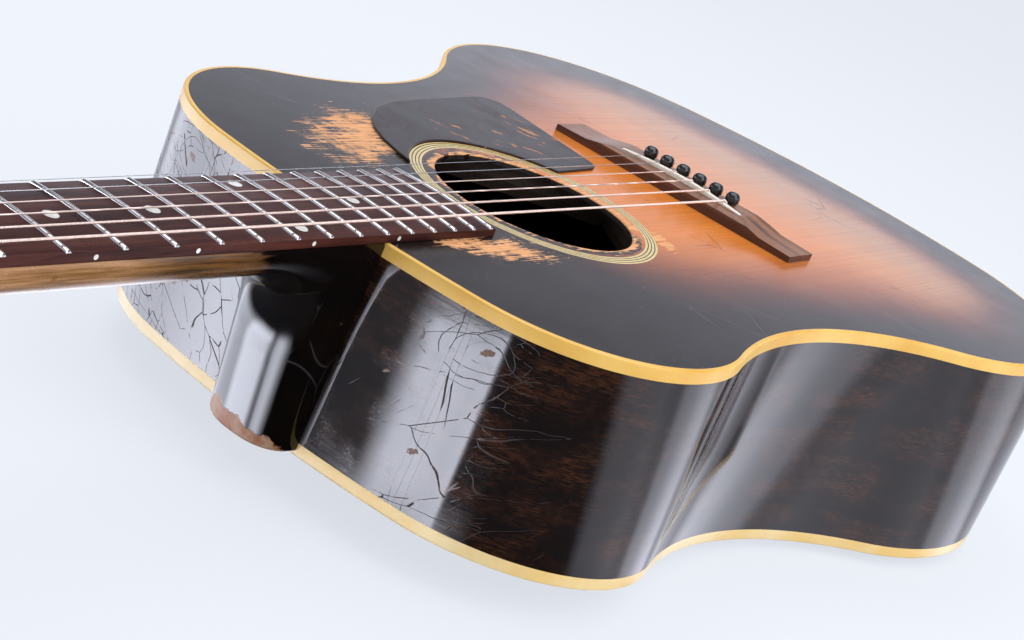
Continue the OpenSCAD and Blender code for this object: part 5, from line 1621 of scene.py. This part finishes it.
    def headstock(self) -> None:
        """The headstock's slab, with the truss pocket and the post holes cut."""
        z = self.size
        plan = self.head_plan()
        slab = [[z.on_head(s, y, level) for s, y in plan] for level in (-z.head_t, 0.0)]
        piece = skinned("headstock_slab", slab)
        work = bmesh.new()
        for spot in Tuners().spots():
            add_skin(work, self.drill(spot, self.post_hole_r, 24, (-z.head_t - 2, 2.0)))
            add_skin(work, self.drill(spot, self.bush_hole_r, 28, (self.bush_hole_z, 3.0)))
        low, high = (z.nut_back + x for x in self.pocket)
        wide = self.pocket_half
        corners = ((low, -wide), (high, -wide), (high, wide), (low, wide))
        add_skin(work, [[place(x, y, level) for x, y in corners] for level in self.pocket_z])
        bmesh.ops.recalc_face_normals(work, faces=work.faces)
        cutter_mesh = bpy.data.meshes.new("head_cuts")
        work.to_mesh(cutter_mesh)
        work.free()
        piece = carve(piece, cutter_mesh)
        soften(piece, self.head_round)
        dress(piece, NECK, Part.GUITAR.value)

    def drill(self, spot: Plan, r: float, sides: int, levels: Plan) -> list[list[Vector]]:
        """Rings of a round cutter through the headstock at a plan spot.

        Args:
            spot: its middle.
            r: its radius.
            sides: points in a ring.
            levels: its two heights.

        Returns:
            Two rings.
        """
        turns = [2 * math.pi * k / sides for k in range(sides)]
        circle = [(spot[0] + r * math.cos(a), spot[1] + r * math.sin(a)) for a in turns]
        return [[self.size.on_head(s, y, level) for s, y in circle] for level in levels]

    def frets(self) -> None:
        """All frets from one pattern, set out by the rule of the twelfth root of two."""
        z = self.size
        pattern = self.fret_pattern()
        tree = GeoTree("fret_row")
        count = tree.size("Frets", z.frets, "NodeSocketInt")
        scale = tree.size("String length", z.scale * MM)
        nut = tree.size("Nut place", place(z.nut_x, 0, 0).x)
        height = tree.size("Board height", place(0, 0, z.board_t + 0.02).z)
        nut_half = tree.size("Half width at nut", z.nut_w / 2 * MM)
        slope = tree.size("Widening", z.widening)
        inset = tree.size("End inset", 0.15 * MM)
        shape = tree.size("Fret", pattern, "NodeSocketObject")
        row = tree.node("GeometryNodeMeshLine", None, {"Count": count})
        index = tree.node("GeometryNodeInputIndex").outputs[0]
        power = tree.math("POWER", 2.0, tree.math("DIVIDE", tree.math("ADD", index, 1.0), -float(OCTAVE)))
        back = (1 - power) * scale
        half = back * slope + nut_half - inset
        spot = tree.join(tree.math("SUBTRACT", nut, back), 0.0, height)
        moved = tree.node("GeometryNodeSetPosition", None, {"Geometry": row.outputs[0], "Position": spot})
        size = tree.join(1.0, half / (MM * self.fret_half), 1.0)
        fret = tree.node("GeometryNodeObjectInfo", None, {"Object": shape})
        spots = tree.node("GeometryNodeInstanceOnPoints", None, {
            "Points": moved.outputs[0], "Instance": fret.outputs["Geometry"], "Scale": size})
        whole = tree.node("GeometryNodeRealizeInstances", None, {0: spots.outputs[0]})
        _, across, _ = tree.split(tree.node("GeometryNodeInputPosition").outputs[0])
        sink = tree.join(0.0, 0.0, across * across / (-2 * z.board_r * MM))
        bent = tree.node("GeometryNodeSetPosition", None, {"Geometry": whole.outputs[0], "Offset": sink})
        piece = tree.run("fret_row", bent.outputs[0], FRET_METAL.material())
        bpy.data.objects.remove(pattern)
        dress(piece, FRET_METAL, Part.GUITAR.value, "frets")

    def fret_pattern(self) -> Piece:
        """A straight fret with a round crown and sloped ends."""
        w, h = self.fret_w / 2, self.fret_h
        arc = [math.pi * k / 10 for k in range(11)]
        foot = -self.fret_foot * MM
        slopes = ((0.0, 0.18), (0.15, 0.5), (0.5, 0.85), (1.0, 1.0), (13.0, 1.0))
        ends = [(self.fret_half - inset, f) for inset, f in slopes]
        rings = []
        for y, f in [(-y, f) for y, f in ends] + [(0.0, 1.0)] + ends[::-1]:
            ring = [Vector((w * math.cos(a) * MM, y * MM, h * f * math.sin(a) ** 0.8 * MM)) for a in arc]
            rings.append(ring + [Vector((-w * MM, y * MM, foot)), Vector((w * MM, y * MM, foot))])
        return skinned("fret_pattern", rings, 50.0)


def add_skin(work: bmesh.types.BMesh, rings: Rings) -> None:
    """Adds a capped skin to a mesh in the making.

    Args:
        work: the mesh.
        rings: rows of points.
    """
    points, faces = skin(rings)
    verts = [work.verts.new(p) for p in points]
    for face in faces:
        work.faces.new([verts[k] for k in face])


def carve(piece: Piece, cutter: MeshData) -> Piece:
    """Cuts one mesh out of a piece and returns the piece as a plain mesh.

    Args:
        piece: the piece, which is used up.
        cutter: what is cut away.

    Returns:
        The new piece, under the same name.
    """
    name = piece.name
    tool = bpy.data.objects.new("cutter", cutter)
    bpy.context.scene.collection.objects.link(tool)
    cut = piece.modifiers.new("cut", "BOOLEAN")
    cut.object = tool
    cut.operation = "DIFFERENCE"
    cut.solver = "EXACT"
    cut.use_self = True
    graph = bpy.context.evaluated_depsgraph_get()
    mesh = bpy.data.meshes.new_from_object(piece.evaluated_get(graph))
    bpy.data.objects.remove(piece)
    bpy.data.objects.remove(tool)
    return settle(name, mesh, 32.0)


# Tuners


@dataclass(frozen=True)
class Tuners:
    """Plates, posts, worms, keys and the windings on the posts."""

    size: NeckSizes = NeckSizes()
    post_first: float = 58.0
    post_step: float = 38.0
    post_inset: float = 11.5
    post_r: float = 3.0
    post_waist: float = 0.3
    bushing_h: float = 1.2
    wind_gap: float = 0.9
    wind_air: float = 0.08
    stop_air: float = 0.15
    coil_reach: float = 2.2
    turn_gap: float = 0.46
    bend: float = 12.0
    coil_steps: int = 36
    thread_from: float = 2.1
    thread_slip: float = 0.12

    def build(self) -> None:
        """Makes and dresses the tuning machines."""
        cad_copy("tuner_plates", NICKEL, round_mm=0.2)
        cad_copy("post_bushings", NICKEL)
        cad_copy("head_screws", NICKEL)
        for i in range(1, STRINGS + 1):
            self.post(i)
            self.worm(i)
            cad_copy(f"tuner_key_{i}", BUTTON, f"key_{i}", round_mm=0.5)

    def side(self, i: int) -> int:
        """1 for a bass string, -1 for a treble one."""
        return 1 if i > STRINGS // 2 else -1

    def spot(self, i: int) -> Plan:
        """Plan place of post i on the headstock."""
        step = STRINGS - i if self.side(i) > 0 else i - 1
        out = self.size.head_w / 2 - self.post_inset
        return (self.post_first + self.post_step * step, self.side(i) * out)

    def spots(self) -> list[Plan]:
        """Plan places of all posts."""
        return [self.spot(i) for i in range(1, STRINGS + 1)]

    def post(self, i: int) -> None:
        """Post, gear and screw as modelled, with a rounder winding of its own.

        Args:
            i: number of the string.
        """
        s, y = self.spot(i)
        middle = self.size.on_head(s, y, (self.wind_low(i) + self.wind_high(i)) / 2)
        node = f"tuner_post_{i}"
        mesh = merged(node, lambda c: (c - middle).length >= self.coil_reach * MM)
        dress(settle(f"{node}_skin", mesh, 30.0, turn_out=False), NICKEL, f"post_{i}", node)
        upright = self.size.on_head(0, 0, 1) - self.size.on_head(0, 0, 0)
        rings = tube_rings(self.coil(i), GAUGES[i - 1] / 2 * MM, TUBE_SIDES, upright)
        dress(skinned(f"winding_{i}", rings, 60.0), STEEL if i <= Strings().plain else BRONZE, f"post_{i}")

    def worm(self, i: int) -> None:
        """Worm as modelled, its thread a hair slimmer, so that it runs clear of the gear.

        Args:
            i: number of the string.
        """
        node = f"tuner_worm_{i}"
        mesh = merged(node)
        hinge = next(j for j in frame["joints"] if j["name"] == f"key_{i}_turn")
        x, _, z = hinge["pos_m"]
        for vert in mesh.vertices:
            arm = Vector((vert.co.x - x, 0, vert.co.z - z))
            if arm.length > self.thread_from * MM:
                vert.co -= arm.normalized() * self.thread_slip * MM
        dress(settle(f"{node}_skin", mesh, 24.0, turn_out=False), BRASS, f"key_{i}", node)

    def coil_r(self, i: int) -> float:
        """Radius of the winding's middle line."""
        return self.post_r - self.post_waist + GAUGES[i - 1] / 2 + self.wind_air

    def wind_low(self, i: int) -> float:
        """Height of the winding's first turn."""
        return self.size.veneer_t + self.bushing_h + self.wind_gap + GAUGES[i - 1] / 2

    def wind_high(self, i: int) -> float:
        """Height of the winding's last turn."""
        return self.wind_low(i) + TURNS[i - 1] * (GAUGES[i - 1] + self.turn_gap)

    def run(self, i: int) -> tuple[float, float]:
        """Plan angle of the string towards its post, and angle of its touching point.

        Args:
            i: number of the string.

        Returns:
            Both angles.
        """
        p = self.nut_exit(i)
        s, y = self.spot(i)
        far = math.hypot(s - p[0], y - p[1])
        a = math.atan2(y - p[1], s - p[0]) - self.side(i) * math.asin(self.coil_r(i) / far)
        return a, a - self.side(i) * math.pi / 2

    def nut_exit(self, i: int) -> Point:
        """Where string i leaves the nut, in the headstock's frame."""
        z = self.size
        y = Strings().nut_y(i)
        return z.to_head((z.nut_back + z.nut_lead, y, Strings().nut_height(i)))

    def touch(self, i: int) -> Point:
        """Where string i meets its post, in the headstock's frame."""
        s, y = self.spot(i)
        a = self.run(i)[1]
        return (s + self.coil_r(i) * math.cos(a), y + self.coil_r(i) * math.sin(a), self.wind_low(i))

    def stop(self, i: int) -> Vector:
        """Where the straight string ends, just clear of the turning winding.

        Args:
            i: number of the string.

        Returns:
            The point.
        """
        d, r = GAUGES[i - 1], self.coil_r(i)
        sweep = math.hypot(r + d / 2, d) + self.stop_air
        stand = math.sqrt(sweep ** 2 - (r - d / 2) ** 2)
        a = self.run(i)[0]
        t = self.touch(i)
        return self.size.on_head(t[0] - stand * math.cos(a), t[1] - stand * math.sin(a), t[2])

    def coil(self, i: int) -> list[Vector]:
        """Middle line of the winding of string i.

        Args:
            i: number of the string.

        Returns:
            Its points.
        """
        s, y = self.spot(i)
        r, d = self.coil_r(i), GAUGES[i - 1]
        a0, start = self.run(i)
        turn = self.side(i)
        t = self.touch(i)
        path = [(t[0] - d * math.cos(a0), t[1] - d * math.sin(a0), t[2])]
        steps = TURNS[i - 1] * self.coil_steps
        rise = (d + self.turn_gap) / self.coil_steps
        for k in range(steps + 1):
            a = start + turn * 2 * math.pi * k / self.coil_steps
            path.append((s + r * math.cos(a), y + r * math.sin(a), self.wind_low(i) + rise * k))
        a = start + turn * math.radians(self.bend)
        path += [(s + f * r * math.cos(a), y + f * r * math.sin(a), self.wind_high(i)) for f in (0.45, 0.05)]
        return [self.size.on_head(*p) for p in path]


# Strings


@dataclass(frozen=True)
class Strings:
    """Six strings from their ball ends to the posts; four of them wound."""

    size: NeckSizes = NeckSizes()
    spread_nut: float = 36.0
    spread_saddle: float = 55.0
    saddle_x: float = -282.4
    saddle_t: float = 3.0
    saddle_top: float = 10.1
    saddle_air: float = 0.05
    rise_x: float = -286.92
    rise_top: float = 7.9
    low_z: float = -9.4
    nut_z: float = 6.4
    bend_r: float = 0.8
    wrap_share: float = 0.24
    wrap_pitch: float = 0.42
    plain: int = 2
    ball: Stops = ((0.05, -0.1), (1.9, -0.1), (2.0, -0.3), (2.0, -2.9), (1.9, -3.1), (0.05, -3.1))
    ball_sides: int = 24

    def build(self) -> None:
        """Makes and dresses each string."""
        for i in range(1, STRINGS + 1):
            self.string(i)

    def nut_y(self, i: int) -> float:
        """Place of string i across the nut."""
        return (i - (STRINGS + 1) / 2) * self.spread_nut / (STRINGS - 1)

    def saddle_y(self, i: int) -> float:
        """Place of string i across the saddle."""
        return (i - (STRINGS + 1) / 2) * self.spread_saddle / (STRINGS - 1)

    def nut_height(self, i: int) -> float:
        """Height of string i in its nut slot."""
        return self.nut_z + GAUGES[i - 1] / 2 - self.nut_y(i) ** 2 / (2 * self.size.board_r)

    def path(self, i: int) -> list[Vector]:
        """Middle line of string i.

        Args:
            i: number of the string.

        Returns:
            Its points.
        """
        z, y = self.size, self.saddle_y(i)
        over = self.saddle_top - y * y / (2 * z.board_r) + GAUGES[i - 1] / 2 + self.saddle_air
        knots = [place(self.rise_x, y, self.low_z), place(self.rise_x, y, self.rise_top)]
        knots += [place(self.saddle_x + side * self.saddle_t / 2, y, over) for side in (-1, 1)]
        knots += [place(x, self.nut_y(i), self.nut_height(i)) for x in (z.nut_x, z.nut_back + z.nut_lead)]
        return eased(knots + [Tuners().stop(i)], self.bend_r * MM)

    def string(self, i: int) -> None:
        """One string; a wound one gets its wrap from a Geometry Nodes spiral.

        Args:
            i: number of the string.
        """
        d = GAUGES[i - 1]
        wound = i > self.plain
        core = d / 2 * (1 - self.wrap_share) if wound else d / 2
        rings = tube_rings(self.path(i), core * MM, TUBE_SIDES, Vector((0, 1, 0)))
        piece = skinned(f"string_{i}_core", rings, 60.0)
        points, faces = revolve(self.ball, self.ball_sides)
        shift = place(self.rise_x, self.saddle_y(i), self.low_z)
        end = mesh_of(f"string_{i}_ball", [p + shift for p in points], faces)
        dress(end, BRASS, Part.GUITAR.value)
        dress(piece, BRONZE if wound else STEEL, Part.GUITAR.value, f"string_{i}")
        if wound:
            self.wrap(i, d)

    def wrap(self, i: int, d: float) -> None:
        """The wound wire of string i between saddle and nut, and on to the post.

        Args:
            i: number of the string.
            d: its diameter.
        """
        knots = self.path(i)
        total = sum((b - a).length for a, b in zip(knots, knots[1:]))
        wire = d / 2 * self.wrap_share
        pitch = max(wire * 2 * MM, self.wrap_pitch * MM)
        tree = GeoTree(f"wrap_{i}")
        turns = tree.size("Turns", total / pitch)
        radius = tree.size("Radius", (d / 2 - wire) * MM)
        length = tree.size("Length", total)
        thick = tree.size("Wire", wire * MM)
        line = tree.node("GeometryNodeCurveSpiral", None, {
            "Resolution": 7, "Rotations": turns, "Start Radius": radius, "End Radius": radius,
            "Height": length})
        ring = tree.node("GeometryNodeCurvePrimitiveCircle", None, {"Resolution": 4, "Radius": thick})
        tube = tree.node("GeometryNodeCurveToMesh", None,
                         {0: line.outputs[0], 1: ring.outputs[0], "Fill Caps": True})
        piece = tree.run(f"string_{i}_wrap", tube.outputs[0], BRONZE.material(), angle=80.0)
        self.lay(piece, knots)
        dress(piece, BRONZE, Part.GUITAR.value)

    @staticmethod
    def lay(piece: Piece, knots: Sequence[Vector]) -> None:
        """Bends a straight piece along Z onto a path.

        Args:
            piece: the straight piece.
            knots: points of the path.
        """
        lengths = [0.0]
        for a, b in zip(knots, knots[1:]):
            lengths.append(lengths[-1] + (b - a).length)
        co = np.empty(len(piece.data.vertices) * 3, dtype=np.float32)
        piece.data.vertices.foreach_get("co", co)
        co = co.reshape(-1, 3).astype(float)
        cut = np.clip(np.searchsorted(lengths, co[:, 2], side="right") - 1, 0, len(knots) - 2)
        way = np.array([tuple((b - a).normalized()) for a, b in zip(knots, knots[1:])])
        start = np.array([tuple(k) for k in knots[:-1]])
        u = np.cross([0.0, 1.0, 0.0], way)
        u /= np.linalg.norm(u, axis=1)[:, None]
        v = np.cross(way, u)
        along = (co[:, 2] - np.array(lengths)[cut])[:, None]
        out = start[cut] + way[cut] * along + u[cut] * co[:, :1] + v[cut] * co[:, 1:2]
        piece.data.vertices.foreach_set("co", out.astype(np.float32).ravel())
        piece.data.update()


def eased(knots: Sequence[Vector], radius: float) -> list[Vector]:
    """A path with its inner corners rounded.

    Args:
        knots: corners of the path.
        radius: how far before and after a corner the rounding starts.

    Returns:
        The rounded path.
    """
    out = [knots[0]]
    for a, b, c in zip(knots, knots[1:], knots[2:]):
        reach = min(radius, (a - b).length * 0.4, (c - b).length * 0.4)
        first = b + (a - b).normalized() * reach
        last = b + (c - b).normalized() * reach
        for k in range(7):
            t = k / 6
            out.append(first * (1 - t) ** 2 + b * 2 * t * (1 - t) + last * t ** 2)
    out.append(knots[-1])
    return out


# Studio


@dataclass(frozen=True)
class Lamp:
    """A soft rectangular lamp aimed at a point; its size is in metres."""

    name: str
    at: Point
    to: Point
    power: float
    size: Plan

    def hang(self) -> None:
        """Puts the lamp in the scene."""
        data = bpy.data.lights.new(self.name, "AREA")
        data.shape = "RECTANGLE"
        data.size, data.size_y = self.size
        data.energy = self.power
        thing = bpy.data.objects.new(self.name, data)
        thing.location = place(*self.at)
        thing.rotation_mode = "QUATERNION"
        thing.rotation_quaternion = (place(*self.to) - place(*self.at)).to_track_quat("-Z", "Y")
        bpy.context.scene.collection.objects.link(thing)


@dataclass(frozen=True)
class Studio:
    """Floor, world, lamps and camera.

    The stops of what polished surfaces mirror are bearings from the headstock's direction in degrees,
    or sines of the height above the horizon, each with a brightness where 1 is white.
    """

    pale: Colour = (0.868, 0.905, 0.980)
    light: Colour = (0.92, 0.95, 1.0)
    light_level: float = 0.65
    mirror_tint: Colour = (0.89, 0.92, 1.06)
    around: Stops = ((-180, 0.9), (-112, 0.9), (-40, 0.5), (-23, 0.4), (10, 0.4), (16, 0.10), (80, 0.10),
                     (88, 1.25), (104, 1.3), (114, 1.35), (122, 1.0), (127, 0.95), (132, 2.0), (140, 2.1),
                     (150, 2.6), (158, 2.4), (166, 0.9), (180, 0.9))
    boxes: Stops = ((-116, 0), (-104, 2.4), (-85, 4.0), (-67, 6.0), (-54, 8.0), (-46, 12.5), (-43, 12.5),
                    (-37, 0), (-22.5, 0), (-21.5, 3), (-20, 12), (-15, 13), (0, 11.5), (8.5, 12.5), (10.3, 0))
    low_box: Stops = ((-100, 3), (-58, 6), (-48, 13.5), (-24, 14), (-15, 3), (-10, 3), (-5, 9), (6, 12),
                      (14, 9), (22, 4), (33, 0))
    above: Stops = ((0.0, 1.5), (0.19, 1.7), (0.205, 1.65), (0.215, 1.5), (0.226, 1.14), (0.243, 0.64),
                    (0.252, 0.47), (0.27, 0.33), (0.30, 0.27), (0.34, 0.22), (0.62, 0.22), (0.72, 0.5),
                    (0.85, 1.6), (1.0, 1.8))
    low_band: Plan = (25.2, 28.5)
    under_band: Plan = (37, 50)
    box_band: Plan = (19.5, 20.5)
    box_side: Plan = (-26, -24)
    slant_side: Plan = (40, 70)
    slant_level: float = 20.5
    slant_rate: float = 3.0
    horizon: Plan = (-0.01, 0.01)
    under: float = 0.08
    peak: float = 14.0
    fit_right: Point = (-0.559781, 0.745875, 0.360993)
    fit_down: Point = (0.083812, 0.484374, -0.870837)
    fit_ahead: Point = (-0.824391, -0.457223, -0.333657)
    eye: Point = (570.352, 410.648, 232.886)
    focal_px: float = 1817.65
    image_w: float = 1024.0
    floor_half: float = 30.0
    floor_drop: float = 0.0004
    floor_glow: float = 0.76
    floor_paint: Colour = (0.80, 0.83, 0.88)
    lamps: tuple[Lamp, ...] = (Lamp("key_box", (-120, 980, 620), (-60, 60, -60), 8.5, (0.70, 1.2)),
                               Lamp("top_box", (-500, -300, 1500), (-200, 0, 0), 14.0, (1.6, 1.6)))

    def build(self) -> None:
        """Sets up everything round the guitar."""
        self.camera()
        self.floor()
        self.world()
        for lamp in self.lamps:
            lamp.hang()
        bpy.context.scene.view_settings.view_transform = "Standard"

    def camera(self) -> None:
        """A camera at the photograph's viewing angle."""
        data = bpy.data.cameras.new("view")
        data.sensor_width = 36.0
        data.lens = self.focal_px / self.image_w * data.sensor_width
        data.clip_start = 0.01
        thing = bpy.data.objects.new("view", data)
        right, up = Vector(self.fit_right), -Vector(self.fit_down)
        turn = Matrix((right, up, -Vector(self.fit_ahead))).transposed()
        thing.matrix_world = Matrix.Translation(place(*self.eye)) @ turn.to_4x4()
        bpy.context.scene.collection.objects.link(thing)
        bpy.context.scene.camera = thing

    def floor(self) -> None:
        """A wide pale floor that keeps a soft shadow."""
        h = self.floor_half
        mesh = bpy.data.meshes.new("floor")
        mesh.from_pydata([(-h, -h, 0), (h, -h, 0), (h, h, 0), (-h, h, 0)], [], [(0, 1, 2, 3)])
        thing = bpy.data.objects.new("floor", mesh)
        thing.location.z = -self.floor_drop
        thing.visible_glossy = False
        bpy.context.scene.collection.objects.link(thing)
        s = Shader("pale_floor")
        s.done(Base_Color=self.floor_paint, Roughness=0.9)
        glow = s.node("ShaderNodeEmission", None, {"Color": self.pale, "Strength": 1.0})
        seen = self.seen(s) * self.floor_glow
        both = s.node("ShaderNodeMixShader", None, {0: seen, 1: s.surface.outputs[0], 2: glow.outputs[0]})
        s.feed(s.out.inputs[0], both.outputs[0])
        mesh.materials.append(s.material)

    @staticmethod
    def seen(nodes: Nodes) -> Val:
        """1 for rays from the camera, straight or through glass."""
        path = nodes.node("ShaderNodeLightPath")
        return Val(nodes, path.outputs["Is Camera Ray"]).most(Val(nodes, path.outputs["Is Transmission Ray"]))

    def world(self) -> None:
        """A plain light, a pale background, and softboxes for what polished surfaces mirror."""
        world = bpy.data.worlds.new("studio")
        bpy.context.scene.world = world
        world.use_nodes = True
        n = Nodes(world.node_tree)
        light = n.node("ShaderNodeBackground", None, {"Color": self.light, "Strength": self.light_level})
        pale = n.node("ShaderNodeBackground", None, {"Color": self.pale, "Strength": 1.0})
        mirror = n.node("ShaderNodeBackground", None,
                        {"Color": self.mirror_tint, "Strength": self.mirrored(n)})
        glossy = n.node("ShaderNodeLightPath").outputs["Is Glossy Ray"]
        lit = n.node("ShaderNodeMixShader", None, {0: glossy, 1: light.outputs[0], 2: mirror.outputs[0]})
        both = n.node("ShaderNodeMixShader", None,
                      {0: self.seen(n), 1: lit.outputs[0], 2: pale.outputs[0]})
        n.node("ShaderNodeOutputWorld", None, {0: both.outputs[0]})

    def mirrored(self, n: Nodes) -> Val:
        """Brightness of the studio in each direction, for reflections.

        Args:
            n: the world's nodes.

        Returns:
            The brightness.
        """
        x, y, z = n.split(n.node("ShaderNodeTexCoord").outputs["Generated"])
        bearing_deg = n.math("ARCTAN2", y, x) * math.degrees(1.0)
        height_deg = n.math("ARCSINE", z) * math.degrees(1.0)
        slant = (height_deg + self.slant_level) * self.slant_rate * n.step(bearing_deg, *self.slant_side)
        around = self.strip(n, (bearing_deg + slant) / 360 + 0.5, self.around)
        low_enough = n.step(-height_deg, *self.box_band).most(1 - n.step(bearing_deg, *self.box_side))
        boxes = self.strip(n, bearing_deg / 360 + 0.5, self.boxes)
        under = n.step(-height_deg, *self.under_band)
        low = n.step(-height_deg, *self.low_band)
        heel = self.strip(n, bearing_deg / 360 + 0.5, self.low_box)
        below = (around + boxes * low_enough) * (1 - low) + heel * low
        below = below * (1 - under) + under * self.under
        above = Val(n, n.ramp(z, [(at, (v / self.peak,) * 3) for at, v in self.above])) * self.peak
        share = n.step(z, *self.horizon)
        return below * (1 - share) + above * share

    def strip(self, n: Nodes, share: Val, stops: Sequence[Plan]) -> Val:
        """Brightness along a bearing given as a share of the full turn."""
        greys = [(deg / 360 + 0.5, (v / self.peak,) * 3) for deg, v in stops]
        return Val(n, n.ramp(share, greys)) * self.peak


def write_sizes() -> None:
    """Brings the scene's placement up to date."""
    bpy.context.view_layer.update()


def main() -> None:
    """Builds the studio and the guitar, piece by piece."""
    logging.basicConfig(level=logging.INFO, format="%(message)s")
    Studio().build()
    SoundBox().build()
    TopTrim().build()
    Neck().build()
    Tuners().build()
    Strings().build()
    write_sizes()


if __name__ == "__main__":
    main()
